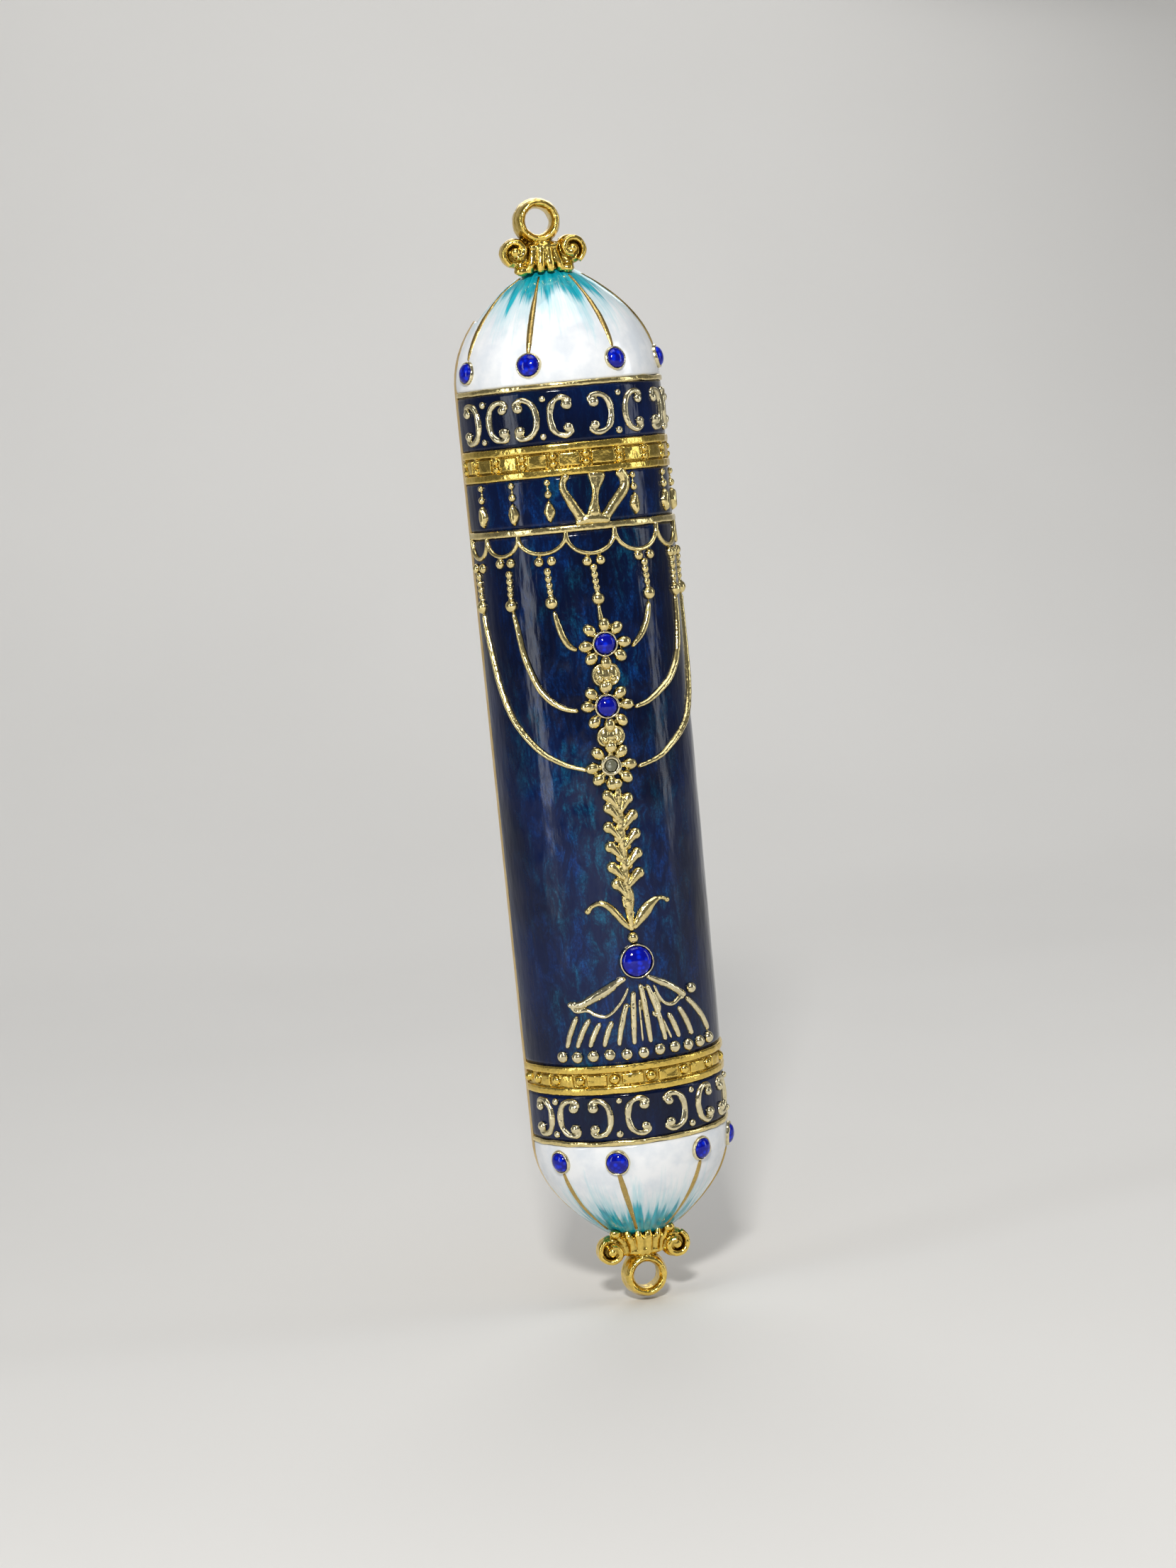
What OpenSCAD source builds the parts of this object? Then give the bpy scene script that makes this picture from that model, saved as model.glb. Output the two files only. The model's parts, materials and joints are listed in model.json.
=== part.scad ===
// Mezuzah case: a half-round enamelled case that hangs on a door post by two rings.
// The back lies in the plane y = 0, the front bulges towards -Y and the case stands along Z.
// The origin is on the back plane, midway between the two nail holes. Lengths are in millimetres.

/* [Case] */
// Radius of the enamelled front at mid height
body_r = 12.65; // [12.5:0.05:12.8]
// Narrowing of that radius towards the foot, per millimetre of height
taper = 0.0037; // [0:0.0001:0.004]
// Thickness of the enamel
enamel_t = 0.45; // [0.3:0.05:0.5]
// Distance between the two nail holes
hole_spacing = 131.2; // [130.8:0.1:131.8]
// Height of the upper dome
upper_dome_h = 14.5; // [14:0.1:14.6]
// Height of the lower dome
lower_dome_h = 13.2; // [12.8:0.1:13.3]
// Share of its radius that a dome loses up to its tip
dome_pinch = 0.78; // [0.75:0.01:0.8]

/* [Scroll chamber and back cover] */
// Radius of the scroll chamber
chamber_r = 8.3; // [8.2:0.05:8.35]
// Thickness of the sliding cover
cover_t = 0.9; // [0.7:0.1:0.9]
// Play of the cover in its groove, on each side
cover_play = 0.1; // [0.08:0.01:0.15]
// Radius of the rolled parchment
scroll_r = 4; // [3:0.1:4]
// Length of the rolled parchment
scroll_l = 76; // [60:1:80]

/* [Hangers] */
// Radius of each nail hole
hole_r = 1.6; // [1.4:0.05:1.7]
// Outer radius of each ring
ring_r = 3; // [2.9:0.1:3.2]
// Thickness of each ring
ring_t = 3; // [2.5:0.1:3.2]
// Sideways shift of the upper ring from the middle of the case
upper_ring_x = -1.2; // [-1.4:0.1:0]

/* [Ornament] */
// Half height of the relief wire above the enamel
wire_h = 0.4; // [0.3:0.05:0.5]
// Radius of the flower stones
flower_stone_r = 1.3; // [1.2:0.05:1.35]
// Radius of the large stone over the foot
foot_stone_r = 1.9; // [1.8:0.05:1.95]
// Radius of the stones on the domes
dome_stone_r = 1.3; // [1.1:0.05:1.35]

/* [Hidden] */
$fn = 48;

gold = "goldenrod";
navy = "midnightblue";
stone_blue = "blue";

rail_lift = 0.2;
rim_angle = 5.5;
enamel_angle = 90 - rim_angle;
lower_pinch = dome_pinch - 0.1;

// Heights on the case.
hole_z = hole_spacing / 2;
lower_ring_x = -0.4;
upper_base = 45.8;
upper_tip = upper_base + upper_dome_h;
lower_base = -47.4;
lower_tip = lower_base - lower_dome_h;
rim_h = 0.7;
upper_band_z = [34.6, 38.5];
lower_band_z = [-40.9, -37.3];
gallery_z = [27.8, 28.7];

// Back cover and the groove that it slides in.
lip_t = 0.9;
slot_y = lip_t + cover_t + 2 * cover_play;
slot_w = 19.2;
mouth_w = 16.2;
chamber_y = -2.6;
chamber_z = [-49.5, 46.8];
stop_z = -49.7;
runout_z = 46.5;
cover_w = slot_w - 2 * cover_play;
cover_top = 52.7;
cover_arch_r = 14;
hanger_back = slot_y + 0.15;

// Places of the ornaments, as angles from the front and heights.
branch_angles = [-77, -52.5, -27.5, 0, 29, 57.5, 81];
arch_beads_z = 24.25;
bead_chain_z = [23.3, 22.5, 21.7, 21];
big_bead_z = 19.5;
big_bead_r = 0.8;
flower_z = [14, 6.5, -0.7];
petal_reach = 2.45;
petal_r = 0.75;
wheat_z = -4.4;
wheat_pitch = 2.3;
stalk_phi = 0.3;
stalk_w = 0.5;
leaf_root_z = -20.6;
stem_bead_z = -21.85;
foot_phi = 1.5;
foot_stone_z = -24.8;
foot_top_z = -27.4;
foot_z = -36.1;
foot_pitch = 9.6;
upper_stone_z = upper_base + 2.2;
lower_stone_z = lower_base - 2;
upper_stone_angles = [-67, -26, 24, 69];
lower_stone_angles = [-56, -19.5, 33, 73];
bezel_wall = 0.35;

// Radius of the enamelled surface at height z.
dome_power = 2.2;
function dome_share(t, h, pinch) = 1 - pinch * pow(t / h, dome_power);
function skin_r(z) =
    z > upper_base ? (body_r + taper * upper_base) * dome_share(z - upper_base, upper_dome_h, dome_pinch)
    : z < lower_base ? (body_r + taper * lower_base) * dome_share(lower_base - z, lower_dome_h, lower_pinch)
    : body_r + taper * z;
// Angle by which the surface leans towards +Z at height z.
function lean(z) = atan((skin_r(z - 0.05) - skin_r(z + 0.05)) / 0.1);
// Point over the surface at an angle from the front, a height and a lift.
function over(phi, z, lift = 0) =
    let (r = skin_r(z) + lift) [r * sin(phi), -r * cos(phi), z];
// Angle that an arc length u spans on the body.
function arc(u) = u / body_r * 180 / PI;

// Heights along the case's outline, close together on the domes.
dome_steps = 12;
outline_z = concat(
    [for (i = [dome_steps:-1:0]) lower_base - lower_dome_h * i / dome_steps],
    [for (i = [0:dome_steps]) upper_base + upper_dome_h * i / dome_steps]
);
// Strip between two lifts over the skin, through a list of heights.
function strip(heights, low, high) = concat(
    [for (z = heights) [skin_r(z) + low, z]],
    [for (i = [len(heights) - 1:-1:0]) [skin_r(heights[i]) + high, heights[i]]]
);

// Turns a profile about Z through half_angle on each side of the front.
module front_turn(half_angle = 90) {
    rotate([0, 0, -90 - half_angle])
        rotate_extrude(angle = 2 * half_angle, $fn = 720)
            children();
}

// Part of the skin between two heights and two lifts.
module skin_part(z0, z1, low, high, half_angle = enamel_angle) {
    front_turn(half_angle)
        polygon(strip([z0, z1], low, high));
}

// Puts children on the surface, with their +Z along its outward normal and +Y up the case.
module seat(phi, z, lift = 0) {
    rotate([0, 0, phi])
        translate([0, -skin_r(z) - lift, z])
            rotate([90 - lean(z), 0, 0])
                children();
}

// Keeps what stands over the surface between two heights, so that it meets what is under it face to face.
module on_case(z0 = lower_band_z[1], z1 = gallery_z[0], lift = 0) {
    intersection() {
        children();
        front_turn(89)
            polygon(strip([z0, z1], lift, 4));
    }
}
// The same on a dome, where from is the first of its heights in outline_z.
module on_dome(from) {
    intersection() {
        children();
        front_turn(89)
            polygon(strip([for (i = [0:dome_steps]) outline_z[from + i]], 0, 4));
    }
}

// Removes the path of the sliding cover behind the upper dome.
module clear_of_runout() {
    difference() {
        children();
        translate([-slot_w / 2, -slot_y - 0.1, runout_z])
            cube([slot_w, slot_y + 1, upper_dome_h]);
    }
}

// Sweeps an oval section along points on the skin. Each point is [phi, z, half width, half height].
wire_sides = 8;
function wire_ring(path, i) =
    let (
        last = len(path) - 1,
        a = path[max(i - 1, 0)],
        b = path[min(i + 1, last)],
        p = path[i],
        ahead = over(b[0], b[1]) - over(a[0], a[1]),
        along = ahead / norm(ahead),
        out = [sin(p[0]), -cos(p[0]), 0],
        across = cross(out, along) / norm(cross(out, along)),
        up = cross(along, across),
        middle = over(p[0], p[1])
    )
    [for (s = [0:wire_sides - 1])
        let (turn = 360 * s / wire_sides)
        middle + p[2] * cos(turn) * across + p[3] * sin(turn) * up];
module wire(path) {
    rings = len(path);
    points = [for (i = [0:rings - 1]) each wire_ring(path, i)];
    sides = [for (i = [0:rings - 2], s = [0:wire_sides - 1])
        let (n = (s + 1) % wire_sides, lo = i * wire_sides, hi = lo + wire_sides)
        each [[lo + s, hi + s, hi + n], [lo + s, hi + n, lo + n]]];
    ends = [
        [for (s = [0:wire_sides - 1]) s],
        [for (s = [wire_sides - 1:-1:0]) (rings - 1) * wire_sides + s]
    ];
    polyhedron(points, concat(sides, ends), convexity = 6);
}

// Point of a cubic curve through four control points, at share t.
function curve(c, t) =
    pow(1 - t, 3) * c[0] + 3 * pow(1 - t, 2) * t * c[1] + 3 * (1 - t) * t * t * c[2] + pow(t, 3) * c[3];
// Wire along such a curve of [arc length, z] points, with half widths at its start, middle and end.
function curve_path(c, steps, w0, w1, w2, h = wire_h) =
    [for (i = [0:steps])
        let (t = i / steps, p = curve(c, t), w = w0 + (w2 - w0) * t + (w1 - (w0 + w2) / 2) * sin(180 * t))
        [arc(p[0]), p[1], w, h]];

// Cast half-round body with a chamber for the scroll, a groove for the cover and a rim round its back.
module case_shell() {
    color(gold)
    difference() {
        union() {
            front_turn()
                polygon(concat(
                    [[0, lower_tip]],
                    [for (z = outline_z) [skin_r(z) - enamel_t, z]],
                    [[0, upper_tip]]
                ));
            for (side = [-1, 1])
                rotate([0, 0, side * (90 - rim_angle / 2)])
                    front_turn(rim_angle / 2)
                        polygon(strip(outline_z, -enamel_t - 0.3, 0));
        }
        translate([0, chamber_y, chamber_z[0]])
            cylinder(r = chamber_r, h = chamber_z[1] - chamber_z[0]);
        translate([-slot_w / 2, -slot_y, stop_z])
            cube([slot_w, slot_y - lip_t, upper_tip - stop_z + 1]);
        translate([-mouth_w / 2, -slot_y, stop_z])
            cube([mouth_w, slot_y + 1, upper_tip - stop_z + 1]);
        translate([-slot_w / 2, -slot_y, runout_z])
            cube([slot_w, slot_y + 1, upper_tip - runout_z + 1]);
    }
}

// Ring with two volutes under it, on a neck that reaches back to its dome.
module hanger(reach, neck_x, spread, volute_r, bead_r) {
    volute_drop = 3.6;
    volute_t = 3.4;
    neck_w = 5.6;
    neck_t = 2.8;
    rotate([90, 0, 0])
        translate([0, 0, hanger_back])
            difference() {
                union() {
                    cylinder(r = ring_r, h = ring_t);
                    translate([neck_x - neck_w / 2, -reach, 0])
                        cube([neck_w, reach - hole_r - 0.6, neck_t]);
                    for (side = [-1, 1])
                        translate([neck_x + side * spread, -volute_drop, 0]) {
                            cylinder(r = volute_r, h = volute_t);
                            translate([0, 0, volute_t]) sphere(r = bead_r);
                        }
                }
                translate([0, 0, -1]) cylinder(r = hole_r, h = ring_t + 2);
            }
}
module full_outline() {
    front_turn()
        polygon(concat([[0, lower_tip]], [for (z = outline_z) [skin_r(z), z]], [[0, upper_tip]]));
}
module upper_hanger() {
    color(gold)
    difference() {
        translate([upper_ring_x, 0, hole_z]) hanger(hole_z - upper_tip + 0.7, 0.3, 3.6, 1.95, 1);
        full_outline();
    }
}
module lower_hanger() {
    color(gold)
    difference() {
        translate([lower_ring_x, 0, -hole_z])
            rotate([0, 180, 0])
                hanger(hole_z + lower_tip + 0.7, 0, 4.2, 2, 1.1);
        full_outline();
    }
}

// Sliding plate with an arched top and a ribbed thumb grip, which stays within the lips' thickness.
module back_cover() {
    grip_bars = 5;
    grip_pitch = 1.5;
    grip_w = 9;
    grip_r = 0.4;
    grip_z = 42;
    face_y = -slot_y + cover_play + cover_t;
    bottom = stop_z + cover_play;
    color(gold)
    union() {
        translate([0, face_y, 0])
            rotate([90, 0, 0])
                linear_extrude(cover_t)
                    intersection() {
                        translate([-cover_w / 2, bottom])
                            square([cover_w, cover_top - bottom]);
                        union() {
                            translate([0, cover_top - cover_arch_r])
                                circle(r = cover_arch_r, $fn = 96);
                            translate([-cover_w / 2, bottom])
                                square([cover_w, cover_top - cover_arch_r - bottom]);
                        }
                    }
        for (i = [0:grip_bars - 1])
            translate([-grip_w / 2, face_y, grip_z - i * grip_pitch])
                rotate([0, 90, 0])
                    cylinder(r = grip_r, h = grip_w);
    }
}

// Parchment rolled round an open core, standing on the chamber's floor in a thin clear wrapper.
wrapper_r = scroll_r + 0.2;
scroll_y = -(slot_y + wrapper_r + 0.15);
module scroll() {
    core_r = 1.2;
    color("wheat")
    translate([0, scroll_y, chamber_z[0] + 0.5])
        difference() {
            cylinder(r = scroll_r, h = scroll_l);
            translate([0, 0, -1]) cylinder(r = core_r, h = scroll_l + 2);
        }
}
module scroll_wrapper() {
    color("white", 0.3)
    translate([0, scroll_y, chamber_z[0]])
        difference() {
            cylinder(r = wrapper_r, h = scroll_l + 2);
            translate([0, 0, -1]) cylinder(r = scroll_r + 0.04, h = scroll_l + 4);
        }
}

// Lift of the underside of the enamel and of the gold edges, a hair over the cast body.
inlay = 0.02 - enamel_t;

// Enamel fields, each filling the space between two gold edges.
module enamel_field(z0, z1) {
    color(navy) skin_part(z0, z1, inlay, 0);
}
module body_enamel() { enamel_field(lower_band_z[1], gallery_z[0]); }
module lantern_enamel() { enamel_field(gallery_z[1], upper_band_z[0]); }
module upper_frieze_enamel() { enamel_field(upper_band_z[1], upper_base - rim_h); }
module lower_frieze_enamel() { enamel_field(lower_base + rim_h, lower_band_z[0]); }
module dome_enamel(from) {
    color("white")
    front_turn(enamel_angle)
        polygon(strip([for (i = [0:dome_steps]) outline_z[from + i]], inlay, 0));
}
module upper_dome_enamel() { clear_of_runout() dome_enamel(dome_steps + 1); }
module lower_dome_enamel() { dome_enamel(0); }

// Gold edges between the fields.
module gold_edge(z0, z1) {
    color(gold) skin_part(z0, z1, inlay, rail_lift);
}
module upper_dome_rim() { gold_edge(upper_base - rim_h, upper_base); }
module lower_dome_rim() { gold_edge(lower_base, lower_base + rim_h); }
module gallery_rail() { gold_edge(gallery_z[0], gallery_z[1]); }

// Band of two rails with a channel between them, where plates and beads alternate.
rail_h = 0.95;
channel_lift = -0.15;
module band(z) {
    color(gold)
    front_turn(enamel_angle)
        polygon([
            [skin_r(z[0]) + inlay, z[0]],
            [skin_r(z[0]) + rail_lift, z[0]],
            [skin_r(z[0]) + rail_lift, z[0] + rail_h],
            [skin_r(z[0]) + channel_lift, z[0] + rail_h],
            [skin_r(z[1]) + channel_lift, z[1] - rail_h],
            [skin_r(z[1]) + rail_lift, z[1] - rail_h],
            [skin_r(z[1]) + rail_lift, z[1]],
            [skin_r(z[1]) + inlay, z[1]]
        ]);
}
module upper_band() { band(upper_band_z); }
module lower_band() { band(lower_band_z); }
upper_band_pitch = 18;
lower_band_pitch = 20;
lower_band_shift = 4;
module band_plates(z, angles) {
    plate_half_angle = 5.7;
    margin = 0.15;
    color(gold)
    for (phi = angles)
        rotate([0, 0, phi])
            skin_part(z[0] + rail_h + margin, z[1] - rail_h - margin, channel_lift, 0.12, plate_half_angle);
}
module upper_band_plates() {
    band_plates(upper_band_z, [for (k = [-4:3]) (k + 0.5) * upper_band_pitch]);
}
module lower_band_plates() {
    band_plates(lower_band_z, [for (k = [-4:3]) (k + 0.5) * lower_band_pitch + lower_band_shift]);
}
module upper_band_beads() {
    r = 0.45;
    middle = (upper_band_z[0] + upper_band_z[1]) / 2;
    color(gold)
    on_case(upper_band_z[0] + rail_h, upper_band_z[1] - rail_h, channel_lift)
        for (k = [-4:4], side = [-1, 1])
            seat(k * upper_band_pitch, middle + side * (r + 0.03), -0.05)
                sphere(r = r);
}
module lower_band_beads() {
    r = 0.6;
    middle = (lower_band_z[0] + lower_band_z[1]) / 2;
    color(gold)
    on_case(lower_band_z[0] + rail_h, lower_band_z[1] - rail_h, channel_lift)
        for (k = [-4:3])
            seat(k * lower_band_pitch + lower_band_shift, middle, -0.2)
                sphere(r = r);
}

// Frieze of C-scrolls in pairs that face each other, with two dots between the backs of the pairs.
c_half_angle = 96;
module c_scroll(r) {
    wire_r = 0.27;
    ball_r = 0.55;
    rotate([0, 0, 180 - c_half_angle])
        rotate_extrude(angle = 2 * c_half_angle)
            translate([r, 0]) circle(r = wire_r, $fn = 24);
    for (side = [-1, 1])
        rotate([0, 0, 180 + side * c_half_angle])
            translate([r - 0.25, 0, 0]) sphere(r = ball_r);
}
module scrolls(z, r, pairs) {
    color(gold)
    on_case(lower_base, upper_base)
        for (pair = pairs, side = [-1, 1]) {
            back = pair[0] + side * pair[1];
            if (abs(back) < 82)
                seat(back - side * arc(r), z, 0.1)
                    rotate([0, 0, side > 0 ? 180 : 0])
                        c_scroll(r);
        }
}
module scroll_dots(z, gap, pairs) {
    dot_r = 0.42;
    color(gold)
    on_case(lower_base, upper_base)
        for (i = [0:len(pairs) - 2], side = [-1, 1])
            seat((pairs[i][0] + pairs[i + 1][0]) / 2, z + side * gap)
                sphere(r = dot_r);
}

// Each pair's middle, and the angle from there to the back of its scrolls.
upper_pairs = [[-78, 17], [-38.5, 15.2], [0.4, 17.2], [44.2, 17.2], [87, 16.5]];
lower_pairs = [[-75.5, 17], [-36.2, 16], [6.2, 17.2], [50, 17], [91, 16.5]];
upper_frieze_mid = (upper_band_z[1] + upper_base - rim_h) / 2;
lower_frieze_mid = (lower_band_z[0] + lower_base + rim_h) / 2;
upper_scroll_r = 2.35;
lower_scroll_r = 2.15;
module upper_scrolls() { scrolls(upper_frieze_mid, upper_scroll_r, upper_pairs); }
module lower_scrolls() { scrolls(lower_frieze_mid, lower_scroll_r, lower_pairs); }
module upper_scroll_dots() { scroll_dots(upper_frieze_mid, 2.3, upper_pairs); }
module lower_scroll_dots() { scroll_dots(lower_frieze_mid, 2, lower_pairs); }

// Gold ribs of the domes, from each bezel towards the tip.
module dome_ribs(angles, z0, z1) {
    steps = 7;
    for (phi = angles)
        wire([for (i = [0:steps])
            let (t = i / steps)
            [phi, z0 + (z1 - z0) * t, 0.36 + 0.14 * sin(150 * t) - 0.18 * t, 0.18]]);
}
rib_from = dome_stone_r + bezel_wall + 0.05;
rib_end = 0.9;
module upper_dome_ribs() {
    color(gold)
    clear_of_runout()
        on_dome(dome_steps + 1)
            dome_ribs(upper_stone_angles, upper_stone_z + rib_from, upper_tip - rib_end);
}
module lower_dome_ribs() {
    color(gold)
    on_dome(0)
        dome_ribs(lower_stone_angles, lower_stone_z - rib_from, lower_tip + rib_end);
}

// Round setting: a bezel on the surface, with a domed stone inside it.
module bezel(r) {
    bezel_h = 0.45;
    sink = 0.6;
    translate([0, 0, -sink])
        difference() {
            cylinder(r = r + bezel_wall, h = sink + bezel_h);
            translate([0, 0, -1]) cylinder(r = r + 0.02, h = sink + bezel_h + 2);
        }
}
module stone(r) {
    crown = 0.62 * r;
    ball_r = (r * r + crown * crown) / (2 * crown);
    girdle = 0.15;
    intersection() {
        translate([0, 0, -crown]) cylinder(r = r, h = 2 * r);
        translate([0, 0, girdle + crown - ball_r]) sphere(r = ball_r);
    }
}
module upper_dome_bezels() {
    color(gold)
    on_dome(dome_steps + 1)
        for (phi = upper_stone_angles) seat(phi, upper_stone_z) bezel(dome_stone_r);
}
module lower_dome_bezels() {
    color(gold)
    on_dome(0)
        for (phi = lower_stone_angles) seat(phi, lower_stone_z) bezel(dome_stone_r);
}
module upper_dome_stones() {
    color(stone_blue)
    on_dome(dome_steps + 1)
        for (phi = upper_stone_angles) seat(phi, upper_stone_z) stone(dome_stone_r);
}
module lower_dome_stones() {
    color(stone_blue)
    on_dome(0)
        for (phi = lower_stone_angles) seat(phi, lower_stone_z) stone(dome_stone_r);
}

// Hanging lamp drops of the row under the upper band: two beads and a spindle each.
drop_angles = [-65, -42.5, -21.5, 28, 55.5];
module lantern_drops() {
    spindle = [[31.75, 0.15], [31.5, 0.3], [31, 0.55], [30.4, 0.64], [29.7, 0.5], [29.1, 0.22]];
    color(gold)
    on_case(gallery_z[1], upper_band_z[0])
        for (phi = drop_angles) {
            seat(phi, 33.85, 0.1) sphere(r = 0.38);
            seat(phi, 32.45, 0.1) sphere(r = 0.42);
            wire([for (p = spindle) [phi, p[0], p[1], p[1] * 0.9]]);
        }
}

// Three-armed crown between the upper band and the gallery rail.
module crown_ornament() {
    h = 0.5;
    color(gold)
    on_case(gallery_z[1], upper_band_z[0]) {
        wire(curve_path([[-2.3, 34.6], [-4.2, 33], [-2, 30.6], [-0.5, 28.9]], 9, 0.5, 0.6, 0.55, h));
        wire(curve_path([[4.2, 34.6], [6.2, 33], [4, 30.6], [1.9, 28.9]], 9, 0.55, 0.75, 0.6, h));
        wire(curve_path([[1.6, 34.6], [0.6, 32.6], [1.2, 31], [0.5, 28.9]], 8, 0.75, 0.4, 0.4, h));
        wire(curve_path([[-1.1, 28.95], [0, 28.8], [1.4, 28.8], [2.5, 28.95]], 5, 0.45, 0.5, 0.45, h));
    }
}

// Hanging arches under the gallery rail, and the pair of beads at the foot of each.
arch_ends = [
    -enamel_angle + 1,
    for (i = [0:5]) (branch_angles[i] + branch_angles[i + 1]) / 2,
    enamel_angle - 0.5
];
module arcade_wires() {
    steps = 9;
    drop = 2.75;
    color(gold)
    on_case()
        for (i = [0:6]) {
            middle = (arch_ends[i] + arch_ends[i + 1]) / 2;
            half = (arch_ends[i + 1] - arch_ends[i]) / 2;
            wire([for (s = [0:steps])
                let (turn = 180 * s / steps)
                [middle - half * cos(turn), gallery_z[0] + 0.1 - drop * sin(turn), 0.27, 0.33]]);
        }
}
module arcade_beads() {
    r = 0.55;
    gap = arc(0.72);
    color(gold)
    on_case()
        for (phi = branch_angles, side = [-1, 1])
            if (abs(phi + side * gap) < 84)
                seat(phi + side * gap, arch_beads_z, 0.1) sphere(r = r);
}

// Seven strings of beads, each ending in a large bead.
module branch_beads() {
    color(gold)
    on_case()
        for (phi = branch_angles) {
            for (z = bead_chain_z)
                seat(phi, z, 0.05) sphere(r = 0.42);
            seat(phi, big_bead_z, 0.1) sphere(r = big_bead_r);
        }
}

// Six curved branches that leave the shaft in three pairs, one pair at each flower.
// Each is a quarter of an ellipse, thickest where it turns.
module lamp_branches() {
    steps = 14;
    inner = [15, 17.5, 15];
    color(gold)
    on_case()
        for (k = [1, 2, 3], side = [-1, 1]) {
            outer = abs(branch_angles[3 + side * k]) - 0.5;
            top = big_bead_z - big_bead_r - 0.05;
            bottom = flower_z[k - 1] - 0.4;
            wire([for (i = [0:steps])
                let (turn = 90 * i / steps)
                [
                    side * (inner[k - 1] + (outer - inner[k - 1]) * cos(turn)),
                    top - (top - bottom) * sin(turn),
                    0.27 + 0.12 * sin(2 * turn),
                    wire_h
                ]]);
        }
}

// Baluster from the middle bead string to the first flower.
module centre_shaft() {
    color(gold)
    on_case()
        wire([[0, 18.65, 0.32, 0.4], [0, 18.2, 0.34, 0.4], [0, 17.8, 0.5, 0.5], [0, 17.5, 0.55, 0.55], [0, 17.25, 0.4, 0.5]]);
}

// Three flowers of eight round petals round a stone.
module petal_balls() {
    for (z = flower_z, p = [0:7]) {
        turn = 45 * p;
        seat(arc(petal_reach * cos(turn)), z + petal_reach * sin(turn), 0.1) sphere(r = petal_r);
    }
}
module flower_petals() {
    color(gold) on_case() petal_balls();
}
module flower_bezels() {
    color(gold) on_case() for (z = flower_z) seat(0, z) bezel(flower_stone_r);
}
module flower_stones() {
    color(stone_blue) on_case() for (i = [0, 1]) seat(0, flower_z[i]) stone(flower_stone_r);
}
module flower_clear_stone() {
    color("gray") on_case() seat(0, flower_z[2]) stone(flower_stone_r);
}

// Barrel knops on the shaft between the flowers.
module stem_knops() {
    barrel = [[0, -1.8], [1, -1.8], [1.5, -0.9], [1.65, 0], [1.5, 0.9], [1, 1.8], [0, 1.8]];
    color(gold)
    on_case()
        difference() {
            for (i = [0, 1])
                seat(0, (flower_z[i] + flower_z[i + 1]) / 2, -0.9)
                    rotate([90, 0, 0])
                        rotate_extrude()
                            polygon(barrel);
            petal_balls();
        }
}

// Ear-of-corn stem: a stalk that swells above its root, with a row of grains on each side.
module wheat_stem() {
    stalk = [
        [-3.95, 0.45], [-8, stalk_w], [-12, stalk_w], [-15.9, stalk_w], [-16.6, 0.7], [-17.4, 0.82],
        [-18.4, 0.6], [-19.3, 0.45]
    ];
    color(gold)
    on_case()
        wire([for (p = stalk) [stalk_phi, p[0], p[1], 0.55]]);
}
module grain(side, z) {
    steps = 5;
    root = [0.1, -1.7];
    tip = [1.75, 0.1];
    wire([for (i = [0:steps])
        let (t = i / steps, p = root + (tip - root) * t)
        [arc(side * p[0]) + stalk_phi, z + p[1], 0.2 + 0.52 * sin(20 + 125 * t), 0.5]]);
}
module wheat_grains() {
    gap = 0.03;
    color(gold)
    difference() {
        on_case() {
            for (i = [0:4]) grain(-1, wheat_z - 0.1 - i * wheat_pitch);
            for (i = [0:4]) grain(1, wheat_z - 0.6 - i * wheat_pitch);
        }
        rotate([0, 0, stalk_phi])
            translate([-stalk_w - gap, -body_r - 2, wheat_z - 7 * wheat_pitch])
                cube([2 * (stalk_w + gap), 4, 8 * wheat_pitch]);
    }
}

// Two curling leaves at the foot of the stem, and the bead that they spring from.
module stem_leaves() {
    color(gold)
    on_case() {
        wire(curve_path([[0.1, leaf_root_z], [-1.9, -17.8], [-3.4, -16.4], [-4.8, -18.3]], 10, 0.35, 0.5, 0.3));
        wire(curve_path([[0.2, leaf_root_z], [1.9, -18.9], [2.6, -16.8], [5.5, -17.8]], 10, 0.35, 0.8, 0.3));
    }
}
module stem_bead() {
    color(gold) on_case() seat(1, stem_bead_z, 0.1) sphere(r = 0.62);
}
module foot_bezel() {
    color(gold) on_case() seat(foot_phi, foot_stone_z) bezel(foot_stone_r);
}
module foot_stone() {
    color(stone_blue) on_case() seat(foot_phi, foot_stone_z) stone(foot_stone_r);
}

// Domed foot: two leaves under the stone, ribs that fan out below them, and a row of beads.
module foot_leaves() {
    color(gold)
    on_case() {
        wire(curve_path([[-1.6, -27.1], [-3.6, -27.2], [-6, -30], [-8.3, -29.8]], 9, 0.35, 0.42, 0.3));
        wire(curve_path([[-8.3, -30], [-4.4, -31], [-2.2, -32.3], [-0.8, -28]], 10, 0.25, 0.28, 0.3));
        wire(curve_path([[2.2, -27], [3.6, -27.2], [5, -28.6], [6.3, -29.7]], 8, 0.2, 0.25, 0.2));
        wire(curve_path([[6.2, -29.8], [5, -31.6], [3.2, -31], [1.2, -28]], 8, 0.25, 0.35, 0.25));
        seat(36, -29.3, 0.1) sphere(r = 0.65);
    }
}
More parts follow.
